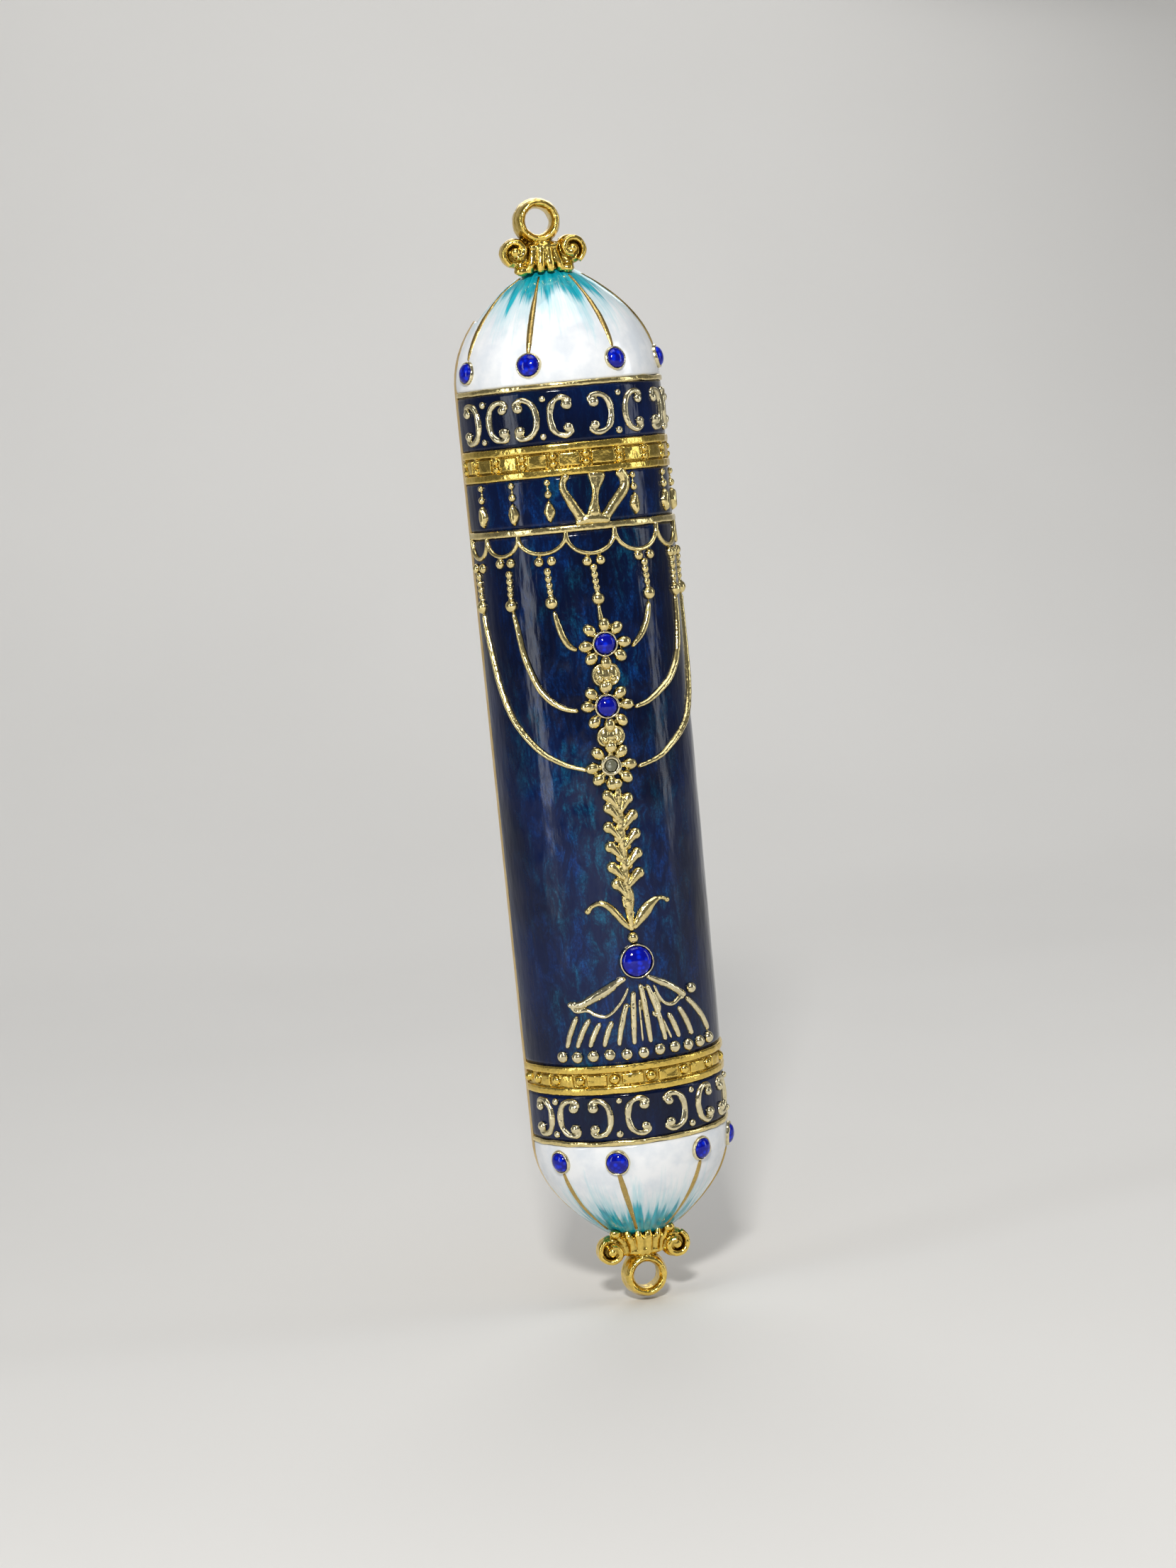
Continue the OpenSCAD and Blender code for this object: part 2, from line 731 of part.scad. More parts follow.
// Angle of a foot rib at height z, as on a meridian of an oval dome.
function rib_phi(edge, z) =
    foot_phi + (edge - foot_phi) * sqrt(max(0, 1 - pow((z - foot_z) / (foot_top_z - foot_z), 2)));
module foot_ribs() {
    reach = [0.9, 0.64, 0.47, 0.5, 0.53, 0.56];
    steps = 5;
    color(gold)
    on_case()
        for (k = [-5:5])
            wire([for (i = [0:steps])
                let (z = foot_z + 0.8 + (foot_top_z - foot_z - 0.8) * reach[abs(k)] * i / steps)
                [rib_phi(foot_phi + k * foot_pitch, z), z, 0.36 - 0.12 * i / steps, 0.36]]);
}
module foot_beads() {
    color(gold)
    on_case()
        for (k = [-5:5])
            seat(foot_phi + k * foot_pitch, foot_z, 0.05) sphere(r = 0.68);
}

case_shell();
upper_hanger();
lower_hanger();
back_cover();
scroll();
scroll_wrapper();
body_enamel();
lantern_enamel();
upper_frieze_enamel();
lower_frieze_enamel();
upper_dome_enamel();
lower_dome_enamel();
upper_dome_rim();
lower_dome_rim();
upper_band();
lower_band();
upper_band_plates();
lower_band_plates();
upper_band_beads();
lower_band_beads();
upper_scrolls();
lower_scrolls();
upper_scroll_dots();
lower_scroll_dots();
upper_dome_ribs();
lower_dome_ribs();
upper_dome_bezels();
lower_dome_bezels();
upper_dome_stones();
lower_dome_stones();
lantern_drops();
crown_ornament();
gallery_rail();
arcade_wires();
arcade_beads();
branch_beads();
lamp_branches();
centre_shaft();
flower_petals();
flower_bezels();
flower_stones();
flower_clear_stone();
stem_knops();
wheat_stem();
wheat_grains();
stem_leaves();
stem_bead();
foot_bezel();
foot_stone();
foot_leaves();
foot_ribs();
foot_beads();
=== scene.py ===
import json
import math
from math import cos, pi, radians, sin

import bpy
import numpy as np
from mathutils import Matrix, Vector, noise


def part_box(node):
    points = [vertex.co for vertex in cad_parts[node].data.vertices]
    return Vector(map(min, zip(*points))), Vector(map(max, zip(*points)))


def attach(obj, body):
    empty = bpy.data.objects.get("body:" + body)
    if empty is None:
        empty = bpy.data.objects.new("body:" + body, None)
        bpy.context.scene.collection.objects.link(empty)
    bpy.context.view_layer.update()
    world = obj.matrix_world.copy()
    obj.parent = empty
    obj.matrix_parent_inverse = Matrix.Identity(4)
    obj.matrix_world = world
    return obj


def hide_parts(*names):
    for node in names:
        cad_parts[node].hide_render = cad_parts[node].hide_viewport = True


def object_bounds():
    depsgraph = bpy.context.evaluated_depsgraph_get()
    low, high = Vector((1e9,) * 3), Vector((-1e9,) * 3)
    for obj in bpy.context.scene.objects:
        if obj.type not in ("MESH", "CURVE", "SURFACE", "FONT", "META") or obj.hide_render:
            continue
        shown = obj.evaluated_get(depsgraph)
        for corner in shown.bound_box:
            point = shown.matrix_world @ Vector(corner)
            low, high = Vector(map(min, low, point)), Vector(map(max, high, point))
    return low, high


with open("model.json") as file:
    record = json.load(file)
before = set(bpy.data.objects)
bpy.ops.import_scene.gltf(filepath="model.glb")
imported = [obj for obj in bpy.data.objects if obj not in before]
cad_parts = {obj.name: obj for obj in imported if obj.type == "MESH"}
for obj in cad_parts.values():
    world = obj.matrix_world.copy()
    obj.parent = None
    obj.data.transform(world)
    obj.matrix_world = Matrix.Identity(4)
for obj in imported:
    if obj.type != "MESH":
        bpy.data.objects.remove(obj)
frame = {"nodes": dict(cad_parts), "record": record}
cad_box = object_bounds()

# Shapes are built in millimetres in the row frame and scaled to metres when they become pieces.
MM = 0.001


def low_high(node):
    lo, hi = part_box(node)
    return np.array(lo) / MM, np.array(hi) / MM


def heights(node):
    lo, hi = low_high(node)
    return float(lo[2]), float(hi[2])


# Places taken from the frame.
shell_z = heights("case_shell")
upper_rim = heights("upper_dome_rim")
lower_rim = heights("lower_dome_rim")
upper_base, lower_base = upper_rim[1], lower_rim[0]
upper_band_z = heights("upper_band")
lower_band_z = heights("lower_band")
gallery_z = heights("gallery_rail")
mounts = {m["name"]: m for m in frame["record"]["mounts"]}
top_hole = np.array(mounts["top_hole"]["pos_m"]) / MM
bottom_hole = np.array(mounts["bottom_hole"]["pos_m"]) / MM
hole_r = mounts["top_hole"]["dims"]["r_mm"]
upper_hanger_box = low_high("upper_hanger")
lower_hanger_box = low_high("lower_hanger")

# The enamelled surface, with the same numbers as the CAD.
BODY_R, TAPER, ENAMEL_T, RIM_ANGLE = 12.65, 0.0037, 0.45, 5.5
UPPER_H, LOWER_H = shell_z[1] - upper_base, lower_base - shell_z[0]
UPPER_PINCH, LOWER_PINCH, DOME_POWER = 0.78, 0.68, 2.2
ENAMEL_ANGLE = 90 - RIM_ANGLE
DEG_PER_MM = math.degrees(1 / BODY_R)


def skin_r(z):
    z = np.asarray(z, float)
    up = np.clip(z - upper_base, 0, UPPER_H) / UPPER_H
    down = np.clip(lower_base - z, 0, LOWER_H) / LOWER_H
    shaft = BODY_R + TAPER * np.clip(z, lower_base, upper_base)
    return shaft * (1 - UPPER_PINCH * up**DOME_POWER) * (1 - LOWER_PINCH * down**DOME_POWER)


def skin(phi, z, lift=0.0):
    """Points over the surface, from angles from the front in degrees, heights and lifts."""
    phi, z, lift = np.broadcast_arrays(np.radians(phi), np.asarray(z, float), lift)
    slope = (skin_r(z + 0.05) - skin_r(z - 0.05)) / 0.1
    n = np.sqrt(1 + slope**2)
    r = skin_r(z) + lift / n
    return np.stack([r * np.sin(phi), -r * np.cos(phi), z - lift * slope / n], -1)


def axes_at(phi, z):
    """East, up and outward directions of the surface."""
    p = radians(phi)
    slope = float(skin_r(z + 0.05) - skin_r(z - 0.05)) / 0.1
    east = np.array([cos(p), sin(p), 0.0])
    out = np.array([sin(p), -cos(p), -slope])
    out /= np.linalg.norm(out)
    return east, np.cross(out, east), out


# ---------------------------------------------------------------- mesh building
def circle(count):
    return np.linspace(0, 2 * pi, count, endpoint=False)


class Lump:
    """Closed parts gathered into one mesh."""

    def __init__(self):
        self.v, self.f, self.n = [], [], 0

    def add(self, verts, faces):
        self.v.append(np.asarray(verts, float).reshape(-1, 3))
        self.f += [tuple(i + self.n for i in f) for f in faces]
        self.n += len(self.v[-1])

    def rings(self, rings, closed=False):
        """Skins a list of rings of equal length, with fans at both ends unless it closes on itself."""
        rings = np.asarray(rings, float)
        m, k = rings.shape[:2]
        faces = []
        for i in range(m if closed else m - 1):
            j = (i + 1) % m
            for s in range(k):
                t = (s + 1) % k
                faces.append((i * k + s, i * k + t, j * k + t, j * k + s))
        verts = rings.reshape(-1, 3)
        if not closed:
            verts = np.vstack([verts, rings[0].mean(0), rings[-1].mean(0)])
            faces += [(m * k, (s + 1) % k, s) for s in range(k)]
            faces += [(m * k + 1, (m - 1) * k + s, (m - 1) * k + (s + 1) % k) for s in range(k)]
        self.add(verts, faces)

    def ball(self, centre, r, axes=np.eye(3), scale=(1, 1, 1)):
        """A ball, stretched along axes."""
        around, along = 18, 9
        axes = np.array(axes)
        t = np.linspace(0, pi, along + 2)[1:-1]
        a = circle(around)
        ring = np.stack([np.cos(a), np.sin(a)], -1)
        rows = []
        for x in t:
            p = np.column_stack([ring * sin(x), np.full(around, cos(x))]) * r * scale
            rows.append(centre + p @ axes)
        k = around
        tip = r * scale[2] * axes[2]
        verts = np.vstack([np.array(rows).reshape(-1, 3), centre + tip, centre - tip])
        top, bottom = along * k, along * k + 1
        faces = [(i * k + s, (i + 1) * k + s, (i + 1) * k + (s + 1) % k, i * k + (s + 1) % k)
                 for i in range(along - 1) for s in range(k)]
        faces += [(top, s, (s + 1) % k) for s in range(k)]
        faces += [(bottom, (along - 1) * k + (s + 1) % k, (along - 1) * k + s) for s in range(k)]
        self.add(verts, faces)

    def tube(self, points, ups, widths, tops, sides=12, flat=1.0):
        """An oval section swept along points: widths across, tops along ups, and flat times tops below."""
        p, up = np.asarray(points, float), np.asarray(ups, float)
        m = len(p)
        ahead = np.gradient(p, axis=0)
        ahead /= np.linalg.norm(ahead, axis=1)[:, None]
        across = np.cross(up, ahead)
        across /= np.linalg.norm(across, axis=1)[:, None]
        up = np.cross(ahead, across)
        widths, tops = np.broadcast_to(widths, m), np.broadcast_to(tops, m)
        a = circle(sides)
        c, s = np.cos(a), np.sin(a)
        s = np.where(s < 0, s * flat, s)
        rings = (p[:, None] + widths[:, None, None] * c[None, :, None] * across[:, None]
                 + tops[:, None, None] * s[None, :, None] * up[:, None])
        self.rings(rings)

    def lathe(self, centre, axes, profile, sides=24):
        """A profile of (radius, height) turned about the third axis."""
        a = circle(sides)
        e, n, o = axes
        ring = np.cos(a)[:, None] * e + np.sin(a)[:, None] * n
        self.rings([centre + r * ring + h * np.asarray(o) for r, h in profile])


def smooth_path(points, count):
    """A Catmull-Rom curve through points of any width, with count samples evenly spread by length."""
    p = np.asarray(points, float)
    q = np.vstack([2 * p[0] - p[1], p, 2 * p[-1] - p[-2]])
    out = []
    for i in range(1, len(q) - 2):
        for t in np.linspace(0, 1, 24, endpoint=False):
            out.append(0.5 * (2 * q[i] + (q[i + 1] - q[i - 1]) * t
                              + (2 * q[i - 1] - 5 * q[i] + 4 * q[i + 1] - q[i + 2]) * t * t
                              + (3 * q[i] - q[i - 1] - 3 * q[i + 1] + q[i + 2]) * t**3))
    out = np.array(out + [q[-2]])
    s = np.concatenate([[0], np.cumsum(np.linalg.norm(np.diff(out[:, :2], axis=0), axis=1))])
    want = np.linspace(0, s[-1], count)
    return np.column_stack([np.interp(want, s, out[:, k]) for k in range(p.shape[1])])


def wire(lump, points, height=0.42, sink=0.12, count=None, rounded=True):
    """Relief wire along points of (angle, z, half width), half sunk in the enamel, with rounded ends."""
    p = np.asarray(points, float).copy()
    p[:, 0] /= DEG_PER_MM
    length = np.sum(np.linalg.norm(np.diff(p[:, :2], axis=0), axis=1))
    q = smooth_path(p, count or max(10, int(length / 0.22)))
    u, z, w = q.T
    end = np.ones(len(q))
    if rounded:
        s = np.linspace(0, length, len(q))
        for d in (s, length - s):
            end *= np.sqrt(np.clip(1 - (1 - np.clip(d / 0.4, 0.06, 1)) ** 2, 0, 1))
    pts = skin(u * DEG_PER_MM, z, -sink)
    ups = np.array([axes_at(a * DEG_PER_MM, b)[2] for a, b in zip(u, z)])
    tops = (height + sink) * (0.55 + 0.45 * np.clip(w / 0.4, 0.5, 1.25)) * end
    lump.tube(pts, ups, np.maximum(w * end, 0.03), np.maximum(tops, 0.03), flat=0.7)


def bead(lump, phi, z, r, lift=0.05, scale=(1, 1, 1)):
    lump.ball(skin(phi, z, lift), r, axes_at(phi, z), scale)


def closed_strip(lump, phis, zs, low, high):
    """A slab of the surface between two lifts, over a grid of angles and heights."""
    P, Z = np.meshgrid(phis, zs, indexing="ij")
    top = skin(P, Z, high)
    bottom = skin(P, Z, low)
    m, k = P.shape
    n = m * k
    faces = []
    for i in range(m - 1):
        for j in range(k - 1):
            a, b, c, d = i * k + j, (i + 1) * k + j, (i + 1) * k + j + 1, i * k + j + 1
            faces += [(a, b, c, d), (n + d, n + c, n + b, n + a)]
    edge = ([i * k for i in range(m)] + [(m - 1) * k + j for j in range(1, k)]
            + [i * k + k - 1 for i in range(m - 2, -1, -1)] + [j for j in range(k - 2, 0, -1)])
    faces += [(b, a, n + a, n + b) for a, b in zip(edge, edge[1:] + edge[:1])]
    lump.add(np.vstack([top.reshape(-1, 3), bottom.reshape(-1, 3)]), faces)


def wobble(co, scale, amount, seed):
    """Smooth noise for each point, between about -amount and amount."""
    shift = Vector((seed * 7.3, seed * 3.1, seed * 5.7))
    return np.array([noise.noise(Vector(c) * scale + shift) for c in co]) * amount


def mesh_object(name, lump):
    mesh = bpy.data.meshes.new(name)
    mesh.from_pydata(np.vstack(lump.v).tolist(), [], lump.f)
    mesh.validate()
    obj = bpy.data.objects.new(name, mesh)
    bpy.context.scene.collection.objects.link(obj)
    return obj


def coords(mesh):
    co = np.zeros(len(mesh.vertices) * 3)
    mesh.vertices.foreach_get("co", co)
    return co.reshape(-1, 3)


def normals(mesh):
    no = np.zeros(len(mesh.vertices) * 3)
    mesh.vertex_normals.foreach_get("vector", no)
    return no.reshape(-1, 3)


def dress(obj, material):
    obj.data.materials.clear()
    obj.data.materials.append(material)


def smooth_in_metres(obj, material):
    """Scales a built mesh to metres, shades it smooth and gives it its material."""
    obj.data.transform(Matrix.Scale(MM, 4))
    obj.data.polygons.foreach_set("use_smooth", np.ones(len(obj.data.polygons), bool))
    dress(obj, material)
    obj.data.update()


def finish_piece(obj, finish, nodes):
    """Gives a piece its material and body, and hides the CAD nodes it stands for."""
    material, slot = finish
    smooth_in_metres(obj, material)
    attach(obj, "case")
    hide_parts(*nodes)


def cast(name, lump, finish, nodes, voxel, rounds, grain, seed):
    """Fuses overlapping closed parts into one surface, softens it and makes it uneven as a casting is."""
    obj = mesh_object(name, lump)
    fuse = obj.modifiers.new("fuse", "REMESH")
    fuse.mode, fuse.voxel_size, fuse.use_smooth_shade = "VOXEL", voxel, True
    soften = obj.modifiers.new("soften", "SMOOTH")
    soften.factor, soften.iterations = 0.5, rounds
    depsgraph = bpy.context.evaluated_depsgraph_get()
    mesh = bpy.data.meshes.new_from_object(obj.evaluated_get(depsgraph))
    obj.modifiers.clear()
    old, obj.data = obj.data, mesh
    bpy.data.meshes.remove(old)
    mesh.name = name
    co = coords(mesh)
    move = wobble(co, 1.1, grain, seed) + wobble(co, 3.2, grain * 0.45, seed + 3)
    co += normals(mesh) * move[:, None]
    mesh.vertices.foreach_set("co", co.ravel())
    mesh.update()
    finish_piece(obj, finish, nodes)


def plain(name, lump, finish, nodes):
    finish_piece(mesh_object(name, lump), finish, nodes)


# ---------------------------------------------------------------- materials
class Graph:
    """Short ways to write a node tree."""

    def __init__(self, name):
        self.material = bpy.data.materials.new(name)
        self.material.use_nodes = True
        self.tree = self.material.node_tree
        self.shader = self.tree.nodes["Principled BSDF"]

    def node(self, kind, **props):
        n = self.tree.nodes.new(kind)
        for k, v in props.items():
            setattr(n, k, v)
        return n

    def put(self, socket, value):
        if isinstance(value, bpy.types.NodeSocket):
            self.tree.links.new(value, socket)
        else:
            socket.default_value = value

    def math(self, op, a, b=0.0, c=0.0, clamp=False):
        n = self.node("ShaderNodeMath", operation=op, use_clamp=clamp)
        for i, x in enumerate((a, b, c)):
            self.put(n.inputs[i], x)
        return n.outputs[0]

    def times(self, a, b, clamp=False):
        return self.math("MULTIPLY", a, b, clamp=clamp)

    def step(self, x, lo, hi, out_lo=0.0, out_hi=1.0):
        n = self.node("ShaderNodeMapRange", interpolation_type="SMOOTHSTEP")
        for i, v in enumerate((x, lo, hi, out_lo, out_hi)):
            self.put(n.inputs[i], v)
        return n.outputs[0]

    def mix(self, fac, a, b):
        n = self.node("ShaderNodeMix", data_type="RGBA")
        self.put(n.inputs[0], fac)
        self.put(n.inputs[6], a)
        self.put(n.inputs[7], b)
        return n.outputs[2]

    def noise(self, vector, scale, detail=3.0, rough=0.55, distortion=0.0):
        n = self.node("ShaderNodeTexNoise")
        self.put(n.inputs["Vector"], vector)
        n.inputs["Scale"].default_value = scale
        n.inputs["Detail"].default_value = detail
        n.inputs["Roughness"].default_value = rough
        n.inputs["Distortion"].default_value = distortion
        return n.outputs[0]

    def vector(self, x, y, z):
        n = self.node("ShaderNodeCombineXYZ")
        for i, v in enumerate((x, y, z)):
            self.put(n.inputs[i], v)
        return n.outputs[0]

    def position(self):
        """Object coordinates in millimetres: a vector, then x, y and z."""
        where = self.node("ShaderNodeTexCoord").outputs["Object"]
        n = self.node("ShaderNodeVectorMath", operation="SCALE")
        self.put(n.inputs[0], where)
        n.inputs["Scale"].default_value = 1 / MM
        s = self.node("ShaderNodeSeparateXYZ")
        self.put(s.inputs[0], n.outputs[0])
        return n.outputs[0], s.outputs[0], s.outputs[1], s.outputs[2]

    def angle(self, x, y):
        """Angle from the front about Z, in radians."""
        return self.math("ARCTAN2", x, self.times(y, -1.0))

    def bump(self, height, strength, distance):
        n = self.node("ShaderNodeBump")
        n.inputs["Strength"].default_value = strength
        n.inputs["Distance"].default_value = distance
        self.put(n.inputs["Height"], height)
        self.put(self.shader.inputs["Normal"], n.outputs[0])

    def set(self, **values):
        names = {"color": "Base Color", "metal": "Metallic", "rough": "Roughness", "coat": "Coat Weight",
                 "coat_rough": "Coat Roughness", "ior": "IOR", "specular": "Specular IOR Level",
                 "alpha": "Alpha"}
        for k, v in values.items():
            self.put(self.shader.inputs[names[k]], v)


def rgb(r, g, b):
    return (r, g, b, 1.0)


def gold(name, bright, deep, rough, patina_and_shade, hammered, worn):
    """Plated casting metal: bright on its crests, browner in its hollows and where it meets the enamel; the
    browning is partly antique patina and partly painted shade from ambient occlusion.
    """
    g = Graph(name)
    where = g.position()[0]
    crest = g.step(g.node("ShaderNodeNewGeometry").outputs["Pointiness"], 0.46, 0.53)
    # Painted shade: ambient occlusion darkens the colour in hollows and where the metal meets the enamel.
    shade = g.node("ShaderNodeAmbientOcclusion", samples=6)
    shade.inputs["Distance"].default_value = 0.7 * MM
    unoccluded = g.step(shade.outputs["AO"], 0.25, 0.85)
    cloud = g.noise(where, 0.9, 4.0, 0.6)
    tarnish = g.step(cloud, 0.35, 0.7)
    # Crests and unshaded metal keep the bright colour; the rest takes the deep colour, partly antique patina
    # and partly painted shade.
    clean_and_unshaded = g.times(g.math("MULTIPLY_ADD", crest, 0.5, 0.5), unoccluded)
    clean_and_unshaded = g.math("SUBTRACT", clean_and_unshaded, g.times(tarnish, 0.35 * worn), clamp=True)
    clean_and_unshaded = g.math("MULTIPLY_ADD", clean_and_unshaded, patina_and_shade, 1 - patina_and_shade, clamp=True)
    duller = rgb(*(0.86 * c for c in bright[:3]))
    tone = g.mix(g.step(g.noise(where, 2.3, 2.0), 0.35, 0.65), bright, duller)
    g.set(color=g.mix(clean_and_unshaded, deep, tone), metal=1.0)
    fine = g.noise(where, 7.0, 3.0, 0.6)
    g.set(rough=g.math("ADD", g.step(g.math("MULTIPLY_ADD", fine, 0.5, g.times(cloud, 0.5)),
                                     0.35, 0.65, rough[0], rough[1]),
                       g.times(g.math("SUBTRACT", 1.0, clean_and_unshaded), 0.12)))
    dent = g.math("MULTIPLY_ADD", g.noise(where, 1.6, 2.0, 0.5), hammered, g.times(fine, 0.06))
    g.bump(dent, 0.38, 0.35 * MM)
    return g.material


def navy_enamel(name, mottles=1.0):
    """Deep blue glass enamel with cobalt and teal clouds where it is thin, and upright brush streaks."""
    g = Graph(name)
    x, y, z = g.position()[1:]
    phi = g.angle(x, y)
    u = g.times(phi, BODY_R)
    cloud = g.noise(g.vector(u, 0.0, g.times(z, 0.45)), 0.62, 8.0, 0.72, 0.7)
    patch = g.noise(g.vector(u, 3.0, g.times(z, 0.6)), 0.11, 2.0, 0.5)
    streak = g.noise(g.vector(g.times(u, 3.2), 8.0, g.times(z, 0.3)), 1.1, 4.0, 0.6)
    speck = g.noise(g.vector(u, 5.0, g.times(z, 0.7)), 3.6, 5.0, 0.75)
    middle = g.step(g.math("ABSOLUTE", g.math("ADD", phi, 0.14)), 0.35, 1.15, 1.0, 0.12)
    thin = g.times(g.step(cloud, 0.43, 0.68), g.step(patch, 0.3, 0.62, 0.3, 1.0))
    thin = g.times(thin, g.math("MULTIPLY_ADD", g.step(speck, 0.38, 0.66), 0.85, 0.2))
    thin = g.times(g.times(thin, middle), g.step(streak, 0.25, 0.6, 0.35, 1.0))
    thin = g.times(thin, mottles, clamp=True)
    hue = g.mix(g.step(g.noise(g.vector(u, 1.0, g.times(z, 0.5)), 0.2, 3.0), 0.42, 0.62),
                rgb(0.003, 0.055, 0.27), rgb(0.006, 0.125, 0.24))
    deep = g.mix(g.step(patch, 0.3, 0.7), rgb(0.0008, 0.003, 0.017), rgb(0.0008, 0.007, 0.045))
    g.set(color=g.mix(thin, deep, hue))
    g.set(rough=g.step(streak, 0.3, 0.75, 0.08, 0.18), specular=0.3,
          coat=0.05, coat_rough=0.05, ior=1.45)
    wave = g.math("MULTIPLY_ADD", g.noise(g.vector(u, 0.0, g.times(z, 0.3)), 0.5, 2.0), 1.0,
                  g.times(streak, 0.1))
    g.bump(wave, 0.35, 0.35 * MM)
    return g.material


def dome_enamel(name, tip, side, reach, spike, seed):
    """Pearl white enamel, brushed with blue-green from the tip in pointed strokes."""
    g = Graph(name)
    where, x, y, z = g.position()
    phi = g.angle(x, y)
    down = g.times(g.math("SUBTRACT", float(tip), z), float(side))
    around = g.noise(g.vector(g.times(phi, 3.1), seed, 0.0), 1.7, 3.0, 0.75)
    fine = g.noise(g.vector(g.times(phi, 11.0), seed + 4.0, g.times(z, 0.12)), 1.6, 3.0, 0.7)
    length = g.math("MULTIPLY_ADD", g.step(around, 0.36, 0.72), spike, reach)
    length = g.math("MULTIPLY_ADD", g.math("SUBTRACT", fine, 0.5), 2.6, length)
    past = g.math("SUBTRACT", length, down)
    paint = g.step(past, -0.7, 0.8)
    wash = g.step(g.math("MULTIPLY_ADD", g.math("SUBTRACT", fine, 0.5), 9.0, past), -5.0, 1.6, 0.0, 0.6)
    pearl = g.noise(where, 0.32, 4.0, 0.55)
    white = g.mix(g.step(pearl, 0.35, 0.7), rgb(0.80, 0.815, 0.83), rgb(0.66, 0.70, 0.745))
    teal = g.mix(g.step(fine, 0.35, 0.65), rgb(0.0, 0.25, 0.34), rgb(0.015, 0.42, 0.52))
    white = g.mix(wash, white, rgb(0.22, 0.58, 0.66))
    g.set(color=g.mix(paint, white, teal), rough=0.12, coat=0.35, coat_rough=0.05, ior=1.5)
    g.bump(g.noise(where, 0.4, 2.0), 0.16, 0.3 * MM)
    return g.material


def stone_glass(name, core, edge, sparkle):
    """A polished cabochon with a painted lit core and painted sparkle, and painted shade that darkens it to
    its girdle.
    """
    g = Graph(name)
    where = g.position()[0]
    # Painted shade: ambient occlusion darkens the stone's colour towards its bezel.
    shade = g.node("ShaderNodeAmbientOcclusion", samples=6)
    shade.inputs["Distance"].default_value = 0.8 * MM
    # Painted sparkle: lighter cells of colour stand in for light caught inside the stone.
    sparkle_cells = g.node("ShaderNodeTexVoronoi", feature="F1")
    g.put(sparkle_cells.inputs["Vector"], where)
    sparkle_cells.inputs["Scale"].default_value = 1.5
    sparkle_mask = g.step(sparkle_cells.outputs["Distance"], 0.15, 0.6)
    inner = g.mix(sparkle_mask, sparkle, core)
    g.set(color=g.mix(g.step(shade.outputs["AO"], 0.35, 0.95), edge, inner), rough=0.05, specular=0.35,
          coat=0.15, coat_rough=0.02, ior=1.5)
    g.bump(g.noise(where, 1.3, 2.0), 0.08, 0.2 * MM)
    return g.material


def parchment_material():
    """Warm skin with soft clouds and fine fibres."""
    g = Graph("parchment")
    where, x, y, z = g.position()
    cloud = g.noise(where, 0.18, 4.0)
    fibre = g.noise(g.vector(g.times(x, 6.0), g.times(y, 6.0), z), 1.2, 4.0, 0.7)
    tone = g.mix(g.step(cloud, 0.3, 0.7), rgb(0.72, 0.6, 0.41), rgb(0.6, 0.47, 0.29))
    g.set(color=g.mix(g.step(fibre, 0.35, 0.7, 0.0, 0.4), tone, rgb(0.47, 0.35, 0.2)), rough=0.72)
    g.bump(fibre, 0.3, 0.08 * MM)
    return g.material


def film_material():
    """Thin clear film."""
    g = Graph("clear_film")
    where, x, y, z = g.position()
    g.set(color=rgb(0.92, 0.95, 0.98), rough=g.step(g.noise(where, 0.6, 3.0), 0.3, 0.7, 0.05, 0.16),
          alpha=0.12, ior=1.45)
    g.bump(g.noise(g.vector(x, y, g.times(z, 0.2)), 0.7, 3.0), 0.3, 0.2 * MM)
    return g.material


def satin_gold(name, bright, deep):
    """Plate or casting with fine brush lines, duller in patches."""
    g = Graph(name)
    where, x, y, z = g.position()
    lines = g.noise(g.vector(g.times(x, 6.0), y, g.times(z, 0.12)), 1.4, 5.0, 0.7)
    cloud = g.noise(where, 0.16, 5.0, 0.6)
    tone = g.mix(g.step(cloud, 0.35, 0.68), bright, deep)
    g.set(color=g.mix(g.step(lines, 0.3, 0.75, 0.0, 0.35), tone, deep), metal=1.0,
          rough=g.math("MULTIPLY_ADD", lines, 0.2, g.step(cloud, 0.3, 0.7, 0.18, 0.34)))
    g.bump(g.math("MULTIPLY_ADD", lines, 0.5, cloud), 0.3, 0.1 * MM)
    return g.material


# A finish is a material and its slot.
OLD = "antique_gold"
NEW = "bright_gold"
# The fifth number is how strongly patina and painted shade darken hollows and contacts.
BRIGHT = gold(NEW, rgb(1.0, 0.72, 0.17), rgb(0.15, 0.085, 0.008), (0.08, 0.22), 0.9, 0.5, 0.25), NEW
ANTIQUE = gold(OLD, rgb(1.0, 0.82, 0.38), rgb(0.10, 0.075, 0.014), (0.08, 0.2), 0.92, 0.4, 0.45), OLD
PALE = gold("pale_gold", rgb(0.97, 0.86, 0.55), rgb(0.09, 0.075, 0.024), (0.08, 0.2), 0.92, 0.4, 0.5), OLD
BRONZE = gold("bronze_gold", rgb(0.62, 0.44, 0.15), rgb(0.13, 0.08, 0.02), (0.22, 0.42), 0.7, 0.4, 0.5), OLD
SHELL = satin_gold("shell_gold", rgb(0.86, 0.62, 0.23), rgb(0.66, 0.46, 0.16))
COVER = satin_gold("cover_gold", rgb(0.92, 0.70, 0.30), rgb(0.74, 0.54, 0.21))
NAVY = navy_enamel("navy_enamel"), "navy_enamel"
NAVY_BAND = navy_enamel("navy_enamel_band", 0.25), "navy_enamel"
WHITE_TOP = dome_enamel("white_enamel_upper", shell_z[1], 1, 2.9, 3.0, 1.3), "white_enamel"
WHITE_BOTTOM = dome_enamel("white_enamel_lower", shell_z[0], -1, 2.6, 3.0, 7.9), "white_enamel"
